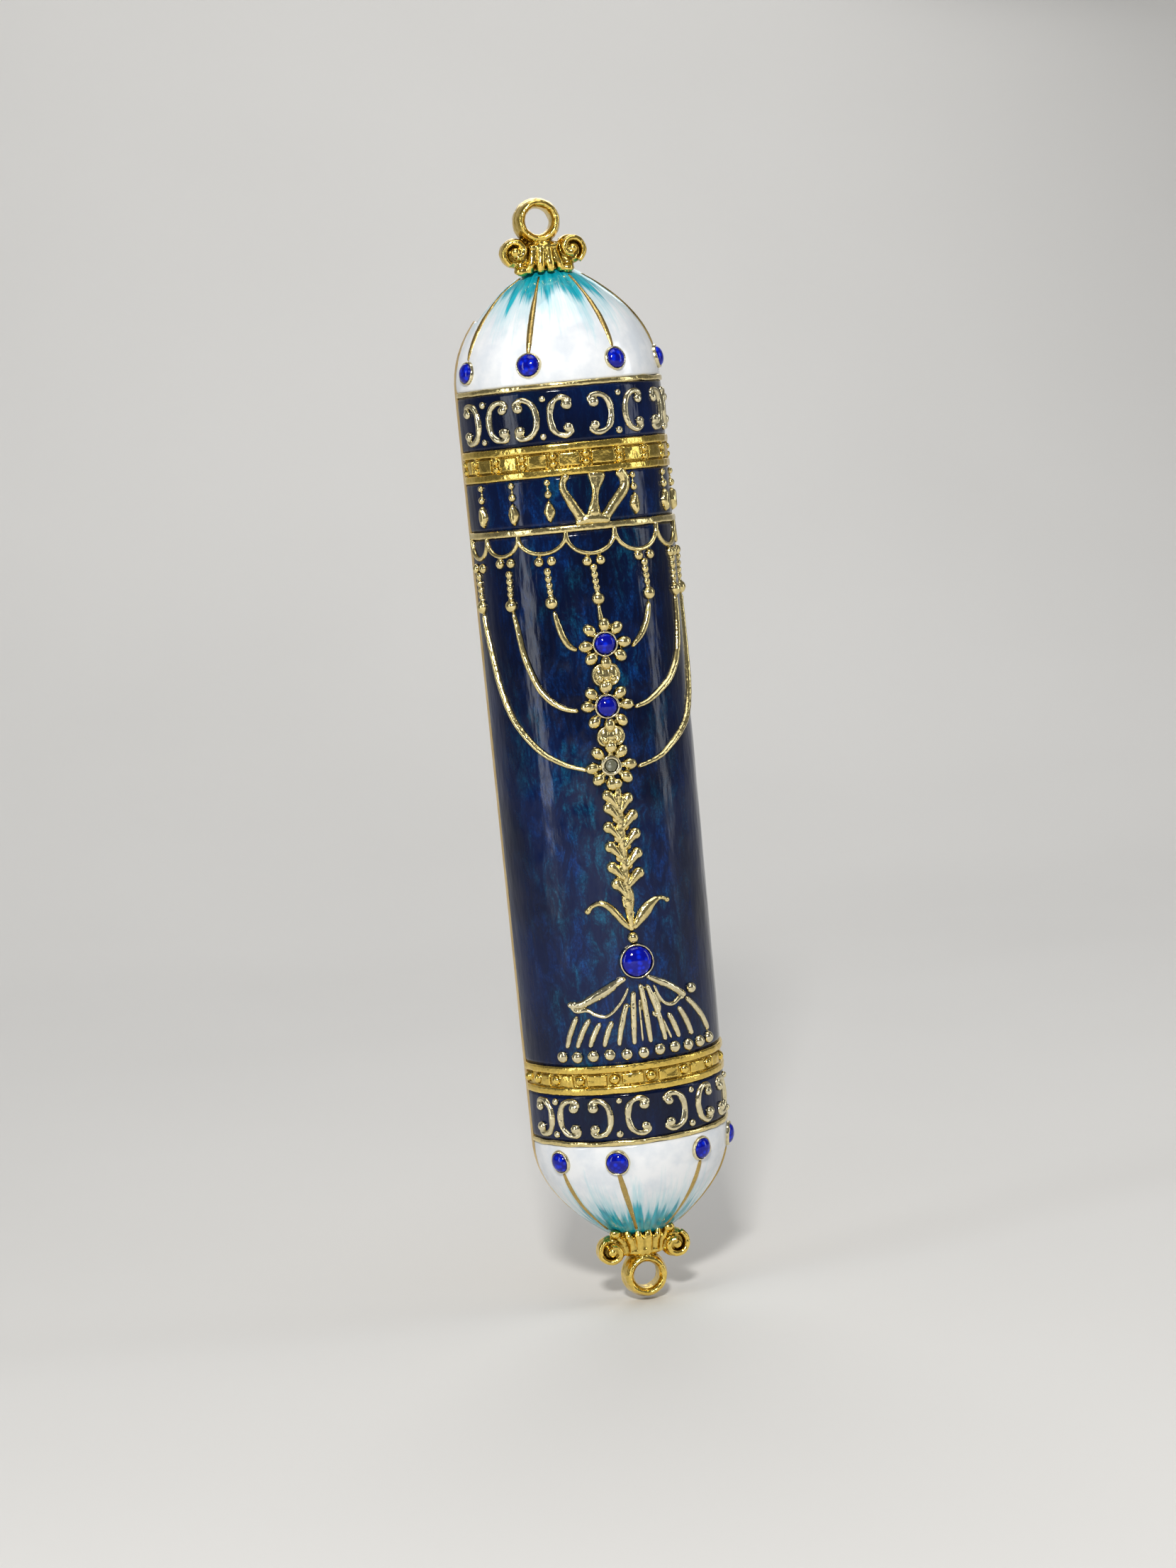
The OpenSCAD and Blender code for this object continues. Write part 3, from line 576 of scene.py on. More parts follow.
# Stone colours: core, painted shade at the girdle, painted sparkle.
BLUE = (stone_glass("blue_stone", rgb(0.0, 0.002, 0.24), rgb(0.0, 0.0, 0.04), rgb(0.0, 0.02, 0.62)),
        "blue_stone")
GREY = (stone_glass("grey_stone", rgb(0.12, 0.12, 0.08), rgb(0.02, 0.02, 0.015), rgb(0.35, 0.36, 0.3)),
        "grey_stone")
PARCHMENT = parchment_material(), "parchment"
FILM = film_material(), "clear_film"


# ---------------------------------------------------------------- enamel fields
def enamel(name, node, z0, z1, finish, swell, step, clear=None):
    """A field of enamel, uneven as poured glass is, a little lower where it meets its gold edges."""
    phis = np.linspace(-ENAMEL_ANGLE, ENAMEL_ANGLE, 161)
    zs = np.linspace(z0, z1, max(8, int((z1 - z0) / step)))
    P, Z = np.meshgrid(phis, zs, indexing="ij")
    co = skin(P, Z).reshape(-1, 3)
    edge = np.minimum(Z - z0, z1 - Z).ravel()
    lift = wobble(co, 0.28, swell, 4) + wobble(co, 0.9, swell * 0.3, 9) - 0.05 * np.exp(-edge / 0.35)
    lump = Lump()
    closed_strip(lump, phis, zs, -ENAMEL_T, lift.reshape(P.shape))
    obj = mesh_object(name, lump)
    if clear:
        clear(obj)
    finish_piece(obj, finish, [node])


def cut_runout(obj):
    """Cuts away what stands in the path of the sliding cover behind the upper dome."""
    half = float(low_high("back_cover")[1][0]) + 0.1
    back = -float(low_high("back_cover")[0][1]) + 0.3
    z0 = upper_base - 1.0
    cutter = Lump()
    corners = ((-half, -back), (half, -back), (half, 5), (-half, 5))
    cutter.add([(x, y, z) for z in (z0, z0 + 40) for x, y in corners],
               [(3, 2, 1, 0), (4, 5, 6, 7), (0, 1, 5, 4), (1, 2, 6, 5), (2, 3, 7, 6), (3, 0, 4, 7)])
    tool = mesh_object("runout_cutter", cutter)
    cut = obj.modifiers.new("cut", "BOOLEAN")
    cut.operation, cut.object, cut.solver = "DIFFERENCE", tool, "EXACT"
    mesh = bpy.data.meshes.new_from_object(obj.evaluated_get(bpy.context.evaluated_depsgraph_get()))
    obj.modifiers.clear()
    obj.data = mesh
    bpy.data.objects.remove(tool)


body_z = heights("body_enamel")
lantern_z = heights("lantern_enamel")
upper_frieze_z = heights("upper_frieze_enamel")
lower_frieze_z = heights("lower_frieze_enamel")
enamel("enamel_body", "body_enamel", *body_z, NAVY, 0.035, 0.6)
enamel("enamel_lantern_row", "lantern_enamel", *lantern_z, NAVY, 0.02, 0.4)
enamel("enamel_upper_frieze", "upper_frieze_enamel", *upper_frieze_z, NAVY_BAND, 0.02, 0.4)
enamel("enamel_lower_frieze", "lower_frieze_enamel", *lower_frieze_z, NAVY_BAND, 0.02, 0.4)
enamel("enamel_upper_dome", "upper_dome_enamel", upper_base, shell_z[1], WHITE_TOP, 0.06, 0.3,
       cut_runout)
enamel("enamel_lower_dome", "lower_dome_enamel", shell_z[0], lower_base, WHITE_BOTTOM, 0.06, 0.3)


# ---------------------------------------------------------------- gold edges and bands
EDGE = ENAMEL_ANGLE - 0.3


def ledge(lump, z0, z1, lift, soft, seed):
    """A thin gold edge whose width and height waver as hand finishing leaves them."""
    phis = np.linspace(-EDGE, EDGE, 110)
    rows = []
    for p in phis:
        a = noise.noise(Vector((p * 0.09, seed, 0.0))) * soft
        b = noise.noise(Vector((p * 0.08, seed, 4.0))) * soft
        h = lift * (1 + 0.3 * noise.noise(Vector((p * 0.12, seed, 9.0))))
        lo, hi = z0 + a, z1 + b
        zs = [lo, lo + 0.04, lo + 0.16, (lo + hi) / 2, hi - 0.16, hi - 0.04, hi, hi, lo]
        ls = [0.0, h * 0.6, h * 0.95, h, h * 0.95, h * 0.6, 0.0, -ENAMEL_T + 0.02, -ENAMEL_T + 0.02]
        rows.append(skin(np.full(9, p), np.array(zs), np.array(ls)))
    lump.rings(rows)


def band(name, z0, z1, beads, bead_r, double, plates, nodes, seed):
    """Two rails with a channel between them, where hammered plates and beads alternate."""
    rail = 0.95
    lump = Lump()
    ledge(lump, z0, z0 + rail, 0.22, 0.06, seed)
    ledge(lump, z1 - rail, z1, 0.22, 0.06, seed + 5)
    bed = np.linspace(z0 + 0.3, z1 - 0.3, 5)
    closed_strip(lump, np.linspace(-EDGE, EDGE, 90), bed, -ENAMEL_T + 0.02, -0.16)
    mid = (z0 + z1) / 2
    for p in beads:
        if double:
            for side in (-1, 1):
                bead(lump, p, mid + side * 0.47, bead_r, -0.08, (1.05, 0.95, 0.95))
        else:
            bead(lump, p, mid + 0.03, bead_r, -0.1, (1.05, 1.0, 0.9))
    row = z1 - z0 - 2 * rail
    for a, b in plates:
        zs = np.linspace(mid - row / 2 + 0.2, mid + row / 2 - 0.2, 5)
        phis = np.linspace(a, b, 9)
        P, Z = np.meshgrid(phis, zs, indexing="ij")
        high = 0.1 + wobble(skin(P, Z).reshape(-1, 3), 1.0, 0.09, seed).reshape(P.shape)
        closed_strip(lump, phis, zs, -0.3, high)
    cast(name, lump, BRIGHT, nodes, 0.09, 3, 0.022, seed)


upper_beads = [-81, -68.3, -51.4, -34.4, -17.2, 0.8, 20.5, 39, 58.6, 77]
lower_beads = [-81, -69, -53, -36.7, -16.4, 4.5, 25.9, 46, 66]


def between(beads, margin):
    return [(a + margin, b - margin) for a, b in zip(beads, beads[1:]) if b - a > 3 * margin]


band("band_upper", *upper_band_z, upper_beads, 0.46, True, between(upper_beads, 3.4),
     ["upper_band", "upper_band_plates", "upper_band_beads"], 2)
band("band_lower", *lower_band_z, lower_beads, 0.62, False, between(lower_beads, 4.6),
     ["lower_band", "lower_band_plates", "lower_band_beads"], 5)
for name, span, seed in (("upper_dome_rim", upper_rim, 11), ("lower_dome_rim", lower_rim, 13)):
    lump = Lump()
    ledge(lump, span[0] + 0.05, span[1], 0.18, 0.16, seed)
    cast("edge_" + name, lump, ANTIQUE, [name], 0.09, 2, 0.02, seed)
lump = Lump()
ledge(lump, gallery_z[0], gallery_z[1] - 0.03, 0.3, 0.07, 17)
cast("edge_gallery", lump, ANTIQUE, ["gallery_rail"], 0.09, 2, 0.02, 17)


# ---------------------------------------------------------------- friezes of C-scrolls
C_PATH = [(0.85, 1.35, 0.3), (1.2, 1.8, 0.3), (0.85, 2.22, 0.32), (0.2, 2.33, 0.34), (-0.6, 2.05, 0.36),
          (-1.2, 1.3, 0.4), (-1.42, 0.0, 0.42), (-1.2, -1.3, 0.4), (-0.6, -2.05, 0.36), (0.2, -2.33, 0.34),
          (0.85, -2.22, 0.32), (1.2, -1.8, 0.3), (0.85, -1.35, 0.3)]


def c_scroll(lump, phi, z, way, tall, seed):
    """A C with a ball inside each end; way is 1 if it opens to the right."""
    rough = 1 + 0.06 * sin(seed * 2.3)
    points = [(phi + way * u * DEG_PER_MM * rough, z + v * tall, 1.15 * w * (1 + 0.12 * sin(seed + 3 * i)))
              for i, (u, v, w) in enumerate(C_PATH)]
    wire(lump, points, 0.36, 0.15)
    for v in (1, -1):
        bead(lump, phi + way * 0.72 * DEG_PER_MM, z + v * 1.36 * tall, 0.6 + 0.06 * sin(seed * 5 + v), 0.06,
             (1.1, 1.0, 0.9))


def frieze(name, z, tall, glyphs, dots, gap, nodes, seed):
    lump = Lump()
    for i, (phi, way) in enumerate(glyphs):
        c_scroll(lump, phi, z, way, tall, seed + i)
    for phi in dots:
        for side in (-1, 1):
            bead(lump, phi + 0.6 * side, z + side * gap, 0.45 + 0.04 * sin(phi + side), 0.05, (1, 1, 0.9))
    cast(name, lump, PALE, nodes, 0.085, 3, 0.03, seed)


upper_mid = (upper_frieze_z[0] + upper_frieze_z[1]) / 2 - 0.1
lower_mid = (lower_frieze_z[0] + lower_frieze_z[1]) / 2
frieze("frieze_upper_scrolls", upper_mid, 0.99,
       [(-67.7, -1), (-46.5, 1), (-30.5, -1), (-10.4, 1), (11, -1), (33.3, 1), (55.1, -1), (77.5, 1)],
       [-57, -20.4, 22.2, 66.5], 2.25, ["upper_scrolls", "upper_scroll_dots"], 21)
frieze("frieze_lower_scrolls", lower_mid, 0.94,
       [(-65.2, -1), (-45.4, 1), (-26.9, -1), (-4.5, 1), (16.7, -1), (39.7, 1), (60.5, -1)],
       [-55.2, -15.7, 28.2, 71], 2.05, ["lower_scrolls", "lower_scroll_dots"], 27)


# ---------------------------------------------------------------- domes: stones, settings and ribs
def cup(lump, phi, z, r, wall, height, waver, seed):
    """A bezel: a low wall turned round the stone, open in the middle."""
    e, n, o = axes_at(phi, z)
    c = skin(phi, z)
    outline = [(r - 0.02, -0.3), (r - 0.02, height * 0.75), (r + wall * 0.3, height),
               (r + wall * 0.75, height * 0.85), (r + wall, height * 0.3), (r + wall + 0.05, -0.3)]
    a = circle(40)
    rings = []
    for t in a:
        k = 1 + waver * noise.noise(Vector((cos(t) * 1.3, sin(t) * 1.3, seed)))
        d = cos(t) * e + sin(t) * n
        rings.append([c + d * (r + (q - r) * k) + o * h * k for q, h in outline])
    lump.rings(np.array(rings)[:, ::-1], closed=True)


def cabochon(lump, phi, z, r, crown, lift=0.0):
    """A domed stone, a little taller than the arc of a ball."""
    profile = [(r * 0.9, -0.26), (r * 1.0, -0.1), (r * 1.0, 0.08)]
    profile += [(r * cos(t), 0.08 + crown * sin(t)) for t in np.linspace(0.12, pi / 2 - 0.06, 12)]
    lump.lathe(skin(phi, z, lift), axes_at(phi, z), profile, 40)


UPPER_STONES = [(-69.0, 0.0, 1.24), (-25.6, 0.1, 1.33), (24.0, 0.05, 1.24), (70.5, 0.05, 1.28)]
LOWER_STONES = [(-56.3, 0.0, 1.26), (-19.4, -0.05, 1.36), (33.6, 0.1, 1.3), (73.8, 0.1, 1.3)]
upper_stone_z = sum(heights("upper_dome_stones")) / 2
lower_stone_z = sum(heights("lower_dome_stones")) / 2
for name, stones, z0, seed in (("upper_dome", UPPER_STONES, upper_stone_z, 31),
                               ("lower_dome", LOWER_STONES, lower_stone_z, 35)):
    cups, gems = Lump(), Lump()
    for i, (phi, dz, r) in enumerate(stones):
        cup(cups, phi, z0 + dz, r, 0.22, 0.3, 0.4, seed + i)
        cabochon(gems, phi, z0 + dz, r, 0.78)
    cast("settings_" + name, cups, PALE, [name + "_bezels"], 0.065, 2, 0.015, seed)
    plain("stones_" + name, gems, BLUE, [name + "_stones"])


def forward_of_cover(path):
    """Bend a dome rib so that it stays in front of the way of the cover."""
    room = np.degrees(np.arccos(np.clip(2.75 / skin_r(path[:, 1]), 0, 1)))
    path[:, 0] = np.clip(path[:, 0], -room, room)
    return path


def dome_ribs(dome, leans, z0, z1, thick, swell, thin, seed):
    """Ribs from above the stones to near the tip, given as pairs of angle and lean."""
    t = np.linspace(0, 1, 9)
    z = z0 + (z1 - z0) * t
    w = thick + swell * np.sin(pi * np.clip(t * 1.25, 0, 1)) - thin * t
    lump = Lump()
    for phi, lean in leans:
        wire(lump, forward_of_cover(np.column_stack([phi + lean * t, z, w])), 0.18, 0.25, 50)
    cast("ribs_" + dome, lump, BRONZE, [dome + "_ribs"], 0.08, 2, 0.02, seed)


dome_ribs("upper_dome", ((-69, 3), (-25.6, 4), (24, -1), (70.5, -3)),
          upper_stone_z + 1.35, shell_z[1] - 1.2, 0.33, 0.2, 0.1, 41)
dome_ribs("lower_dome", ((-56.3, 2), (-19.4, 6), (33.6, -6), (73.8, -4)),
          lower_stone_z - 1.35, shell_z[0] + 1.0, 0.36, 0.12, 0.08, 43)


# ---------------------------------------------------------------- lantern row and crown
lump = Lump()
row_top = lantern_z[1]
for k, phi in enumerate((-65, -42.3, -21.5, 27.5, 55.5, 77)):
    bead(lump, phi, row_top - 0.65, 0.42, 0.05)
    bead(lump, phi, row_top - 1.35, 0.2, 0.0)
    bead(lump, phi, row_top - 2.05, 0.5, 0.05)
    wire(lump, [(phi, row_top - 2.7, 0.18), (phi, row_top - 3.3, 0.5), (phi, row_top - 4.1, 0.8),
                (phi, row_top - 4.8, 0.56), (phi, row_top - 5.5, 0.14)], 0.6, 0.12, 16)
cast("lantern_row_drops", lump, ANTIQUE, ["lantern_drops"], 0.075, 2, 0.025, 47)

lump = Lump()
base = gallery_z[1] + 0.35


def arm(points, foot):
    """Points are (across, below the row's top, half width), and foot ends on the base."""
    points = [(u, row_top - below, w) for u, below, w in points] + [(foot[0], base + foot[1], foot[2])]
    wire(lump, [(u * DEG_PER_MM, z, 1.12 * w) for u, z, w in points], 0.5, 0.15)


arm([(-2.2, -0.25, 0.48), (-2.9, 0.8, 0.46), (-2.8, 1.9, 0.48), (-2.0, 3.5, 0.58)], (-0.95, 0.05, 0.64))
arm([(4.0, -0.25, 0.66), (4.85, 0.9, 0.66), (4.65, 2.2, 0.66), (3.1, 3.9, 0.66)], (1.75, 0.05, 0.6))
arm([(1.35, -0.2, 1.15), (1.2, 0.8, 0.9), (0.95, 2.2, 0.46), (0.7, 3.5, 0.5)], (0.45, 0.3, 0.95))
sill = [(-1.9, -0.35, 0.36), (-0.8, 0.05, 0.6), (1.0, 0.05, 0.6), (2.5, -0.25, 0.38)]
wire(lump, [(u * DEG_PER_MM, base + v, 1.12 * w) for u, v, w in sill], 0.48, 0.15)
bead(lump, 1.55 * DEG_PER_MM, row_top - 0.35, 0.62, 0.05, (1.2, 0.8, 0.8))
cast("crown_of_three_petals", lump, ANTIQUE, ["crown_ornament"], 0.08, 3, 0.035, 49)


# ---------------------------------------------------------------- arcade, bead strings and branches
lump = Lump()
rail = gallery_z[0]
cusps = [-83.2, -64.5, -41.5, -14.1, 13.0, 42.8, 68.8, 83.6]
depths = [2.5, 2.4, 2.45, 2.9, 3.0, 2.9, 2.6]
pairs = [(-79.5, -71, 24.3), (-55.3, -47.4, 24.7), (-30.2, -23.1, 24.55), (-4, 3.4, 24.15), (26.5, 35, 24.2),
         (55.8, 62, 24.15), (77.5, 82.3, 24.2)]
for a, b, d in zip(cusps, cusps[1:], depths):
    t = np.linspace(0, np.pi, 13)
    mid, half = (a + b) / 2, (b - a) / 2
    arch = [(mid - half * cos(x) * (0.985 + 0.015 * cos(2 * x)), rail + 0.15 - d * sin(x) ** 0.85, 0.31)
            for x in t]
    wire(lump, arch, 0.4, 0.12, None, False)
for a, b, z in pairs:
    for phi in (a, b):
        bead(lump, phi, z, 0.62, 0.04, (1.0, 1.0, 0.9))
cast("arcade", lump, ANTIQUE, ["arcade_wires", "arcade_beads"], 0.08, 2, 0.025, 53)

lump = Lump()
strings = [(-77, -76.2), (-49.5, -50), (-26, -25.4), (-0.9, 0), (30.2, 31.4), (58, 58.6), (80.2, 80.6)]
for low_phi, ball_phi in strings:
    for i, z in enumerate((23.35, 22.5, 21.7, 20.95)):
        bead(lump, low_phi + (ball_phi - low_phi) * i / 4, z, 0.5 - 0.02 * i, 0.05, (1.0, 1.0, 0.95))
    bead(lump, ball_phi, 19.55, 0.83, 0.06, (1.0, 1.0, 0.92))
    bead(lump, ball_phi, 20.35, 0.36, 0.0)
branches = [
    [(-24.6, 18.6), (-22.3, 16.2), (-18.5, 14.3), (-13.6, 13.5)],
    [(31.0, 18.6), (28.4, 16.5), (23.7, 14.75), (16.8, 13.3)],
    [(-49.2, 18.8), (-47.2, 16.5), (-44.5, 13.2), (-38.4, 9.75), (-31.6, 7.75), (-23.7, 6.6), (-16.0, 6.2)],
    [(58.3, 18.8), (57.6, 15.5), (53.4, 11.9), (44, 9.2), (33.8, 7.7), (23.7, 6.5), (15.0, 6.0)],
    [(-76.0, 18.8), (-73.9, 16.6), (-70, 13.2), (-65, 9.4), (-58, 6.1), (-50.5, 3.9), (-39.5, 1.5),
     (-27, -0.1), (-14.2, -1.1)],
    [(80.4, 18.8), (79.6, 15.0), (76, 10.5), (70, 7.2), (60, 4.05), (50.8, 2.5), (39.5, 1.0), (28.2, -0.4),
     (13.4, -1.25)],
]
for path in branches:
    m = len(path)
    points = [(p, z, 0.3 + 0.17 * sin(pi * min(i / (m - 1) * 1.05, 1)) ** 0.8)
              for i, (p, z) in enumerate(path)]
    wire(lump, points, 0.46, 0.14)
shaft = [(0, 18.9, 0.3), (0.2, 18.2, 0.28), (0.4, 17.5, 0.36), (0.7, 16.9, 0.42), (0.9, 16.2, 0.5)]
wire(lump, shaft, 0.4, 0.15, 16)
bead(lump, 0.9, 16.35, 0.56, 0.1)
cast("branches_and_bead_strings", lump, ANTIQUE, ["lamp_branches", "branch_beads", "centre_shaft"],
     0.085, 2, 0.028, 59)


# ---------------------------------------------------------------- flowers and knops
lower_stone, upper_stone = heights("flower_stones")
flower_z = [upper_stone - 1.3, lower_stone + 1.3, sum(heights("flower_clear_stone")) / 2]
# Angle, height, stone radius and outer radius of the bezel.
flowers = [(1.2, flower_z[0] + 0.05, 1.3, 1.62), (-0.8, flower_z[1], 1.26, 1.62),
           (-1.7, flower_z[2], 0.8, 1.38)]
petals = Lump()
cups = Lump()
for i, (phi, z, r, outer) in enumerate(flowers):
    for p in range(8):
        t = radians(45 * p + 4 * sin(i * 3 + p * 2))
        reach = 2.36 + 0.08 * sin(p * 2.7 + i) - (0.12 if i == 2 else 0)
        e, n, o = axes_at(phi, z)
        along = cos(t) * e + sin(t) * n
        side = np.cross(o, along)
        centre = skin(phi + reach * cos(t) * DEG_PER_MM, z + reach * sin(t), 0.12)
        petals.ball(centre, 0.8, (along, side, o), (1.15, 0.95, 0.95))
        inner = skin(phi + (outer - 0.1) * cos(t) * DEG_PER_MM, z + (outer - 0.1) * sin(t), 0.0)
        petals.ball(inner, 0.52, (along, side, o), (1.4, 0.8, 0.8))
    cup(cups, phi, z, r, outer - r, 0.55, 0.25, 61 + i)
cast("flower_petals_cast", petals, ANTIQUE, ["flower_petals"], 0.085, 2, 0.03, 61)
cast("flower_settings", cups, PALE, ["flower_bezels"], 0.075, 2, 0.02, 63)
gems = Lump()
for phi, z, r, outer in flowers[:2]:
    cabochon(gems, phi, z, r, 0.8, 0.08)
plain("flower_gems", gems, BLUE, ["flower_stones"])
gems = Lump()
cabochon(gems, *flowers[2][:3], 0.5, 0.08)
plain("flower_grey_gem", gems, GREY, ["flower_clear_stone"])

lump = Lump()
gaps = ((flower_z[0] - 2.5, flower_z[1] + 2.4), (flower_z[1] - 2.6, flower_z[2] + 2.3))
for k, (top_z, low_z) in enumerate(gaps):
    mid, tall = (top_z + low_z) / 2, (top_z - low_z) / 2
    phi = 0.2 - 0.6 * k
    e, n, o = axes_at(phi, mid)
    lump.ball(skin(phi, mid, -0.1), 1.0, (e, n, o), (0.9, tall, 0.66))
    for side in (-1, 1):
        lobe = skin(phi + side * 0.8 * DEG_PER_MM, mid + 0.12)
        lump.ball(lobe, 1.0, (e, n, o), (0.72, tall + 0.2, 0.72))
        curl = [(0.3, 1.15, 0.2), (1.15, 0.85, 0.26), (1.5, 0.1, 0.3), (1.2, -0.6, 0.3), (0.55, -0.95, 0.22)]
        wire(lump, [(phi + side * u * DEG_PER_MM, mid + v * tall, w) for u, v, w in curl], 0.78, 0.1)
        bead(lump, phi + side * 0.72 * DEG_PER_MM, mid - 0.35, 0.34, 0.62)
    bead(lump, phi, mid + 1.05 * tall, 0.48, 0.36, (1.0, 1.2, 1.0))
    bead(lump, phi + 0.4, mid - 0.95 * tall, 0.6, 0.36, (0.9, 1.25, 1.0))
cast("knops", lump, ANTIQUE, ["stem_knops"], 0.08, 2, 0.04, 67)


# ---------------------------------------------------------------- ear of corn, leaves and foot
lump = Lump()
bead(lump, 0.7, -2.95, 0.7, 0.12)
stem = [(0.7, -3.3, 0.45), (0.6, -5, 0.6), (0.5, -9, 0.66), (0.5, -13, 0.62), (0.6, -15.3, 0.6),
        (0.8, -16.4, 0.84), (0.8, -17.6, 0.8), (0.9, -18.8, 0.56), (1.0, -20, 0.48), (1.0, -21.2, 0.4)]
wire(lump, stem, 0.46, 0.15)
for k in range(3):
    z = -15.7 - 1.05 * k
    wire(lump, [(-2.6, z, 0.16), (0.5, z - 0.55, 0.24), (3.6, z - 1.25, 0.16)], 0.62, 0.0)
# Side, distance out and height.
grains = [(-1, 1.25, -4.35), (-1, 1.25, -5.85), (-1, 1.5, -8.2), (-1, 1.5, -10.6), (-1, 1.5, -13.1),
          (-1, 1.15, -15.2), (1, 1.2, -4.9), (1, 1.6, -7.0), (1, 1.72, -9.3), (1, 1.72, -11.7),
          (1, 1.72, -14.1)]
for i, (side, out, z) in enumerate(grains):
    w = 0.68 + 0.05 * sin(i * 2.1)
    path = [(out + 0.12, 0.2, w * 0.8), (out * 0.8, -0.2, w), (out * 0.45, -0.9, w * 0.75), (0.1, -1.8, 0.24)]
    wire(lump, [(side * u * DEG_PER_MM + 0.4, z + v, half) for u, v, half in path], 0.7, 0.12, 14)
    bead(lump, side * out * DEG_PER_MM + 0.4, z + 0.05, 0.7, 0.1, (1.05, 1.1, 0.95))
kernels = [(-1, 0.55, -7.2), (1, 0.7, -8.2), (-1, 0.6, -9.6), (1, 0.7, -10.6), (-1, 0.6, -12.0),
           (1, 0.65, -13.0), (-1, 0.5, -14.3), (1, 0.5, -5.9)]
for side, u, z in kernels:
    bead(lump, side * u * DEG_PER_MM + 0.4, z, 0.42, 0.12, (1.0, 1.3, 0.9))
cast("ear_of_corn", lump, ANTIQUE, ["wheat_stem", "wheat_grains"], 0.08, 2, 0.035, 71)

lump = Lump()
wire(lump, [(0.6, -20.9, 0.32), (-4.0, -19.6, 0.5), (-9.5, -18.0, 0.5), (-14.4, -17.35, 0.42),
            (-19, -17.55, 0.34), (-22.2, -18.2, 0.36)], 0.44, 0.12)
bead(lump, -22.2, -18.2, 0.42, 0.0)
wire(lump, [(1.6, -20.9, 0.32), (5.5, -19.9, 0.66), (10.5, -18.7, 0.85), (15.5, -17.8, 0.55),
            (20, -17.5, 0.32), (24.4, -17.9, 0.3)], 0.46, 0.12)
bead(lump, 24.3, -17.9, 0.36, 0.0)
bead(lump, 1.3, -21.9, 0.72, 0.1)
cast("stem_leaves_cast", lump, ANTIQUE, ["stem_leaves", "stem_bead"], 0.08, 2, 0.03, 73)

foot_phi, foot_stone_z = 2.0, sum(heights("foot_stone")) / 2
cups, gems = Lump(), Lump()
cup(cups, foot_phi, foot_stone_z, 1.9, 0.28, 0.6, 0.2, 75)
cast("foot_setting", cups, PALE, ["foot_bezel"], 0.075, 2, 0.015, 75)
cabochon(gems, foot_phi, foot_stone_z, 1.92, 1.05, 0.08)
plain("foot_gem", gems, BLUE, ["foot_stone"])

lump = Lump()
# The left leaf's two edges and its end, then the right leaf's two edges, its curl and the bead past it.
wire(lump, [(-4.4, -26.7, 0.34), (-9, -27.1, 0.5), (-15, -27.9, 0.66), (-21, -28.6, 0.68),
            (-27.6, -29.3, 0.56), (-33, -29.7, 0.5), (-37.4, -29.5, 0.5)], 0.46, 0.12)
wire(lump, [(-37.4, -29.5, 0.4), (-34.5, -30.4, 0.36), (-28, -30.35, 0.3), (-23, -31.0, 0.28),
            (-17.7, -31.25, 0.26), (-12.4, -30.55, 0.24), (-7, -29.2, 0.22), (-3.8, -27.9, 0.2)], 0.36, 0.12)
bead(lump, -37.0, -29.6, 0.5, 0.0, (1.2, 0.9, 0.8))
wire(lump, [(6.6, -26.7, 0.3), (10.5, -27.2, 0.42), (16, -27.85, 0.52), (22, -28.6, 0.52),
            (28, -29.55, 0.46), (31, -30.1, 0.4)], 0.46, 0.12)
wire(lump, [(30.2, -30.2, 0.32), (26.8, -30.15, 0.32), (22.2, -30.7, 0.32), (17, -30.5, 0.28),
            (13.2, -29.4, 0.24), (10.8, -28.0, 0.2)], 0.36, 0.12)
wire(lump, [(9.0, -28.8, 0.22), (11.6, -29.8, 0.3), (12.6, -31.0, 0.34), (10.2, -31.8, 0.3),
            (8.6, -31.2, 0.24)], 0.4, 0.12)
bead(lump, 35.7, -29.25, 0.72, 0.06)
cast("foot_leaves_cast", lump, PALE, ["foot_leaves"], 0.08, 2, 0.03, 79)

lump = Lump()
foot_ribs = [(-34.2, -31.0, -42.5), (-27.0, -31.4, -36), (-21, -31.9, -28.5), (-14.3, -31.8, -20.3),
             (-5.4, -29.8, -12), (-1.2, -28.4, -3.4), (3.0, -27.6, 6), (6.6, -27.8, 15), (18, -31.7, 24),
             (25.2, -31.2, 33.5), (31.5, -30.3, 49)]
for i, (p0, z0, p1) in enumerate(foot_ribs):
    t = np.linspace(0, 1, 7)
    z = z0 + (-35.1 - z0) * t
    p = p0 + (p1 - p0) * (t * (1.45 - 0.45 * t))
    wide = 0.28 + 0.15 * np.sin(np.pi * (0.2 + 0.7 * t))
    wire(lump, np.column_stack([p, z, wide]), 0.42, 0.12)
wire(lump, [(1.4, -29.5, 0.12), (1.5, -32, 0.16), (1.5, -34.8, 0.16)], 0.26, 0.1)
wire(lump, [(14.2, -32.2, 0.16), (17.0, -33.8, 0.2), (19.2, -35.0, 0.2)], 0.26, 0.1)
for k in range(11):
    bead(lump, -45.9 + 9.44 * k, -36.05 - 0.08 * sin(k * 1.7), 0.76, 0.06, (1.0, 1.0, 0.85))
cast("foot_ribs_and_beads", lump, PALE, ["foot_ribs", "foot_beads"], 0.08, 2, 0.028, 83)


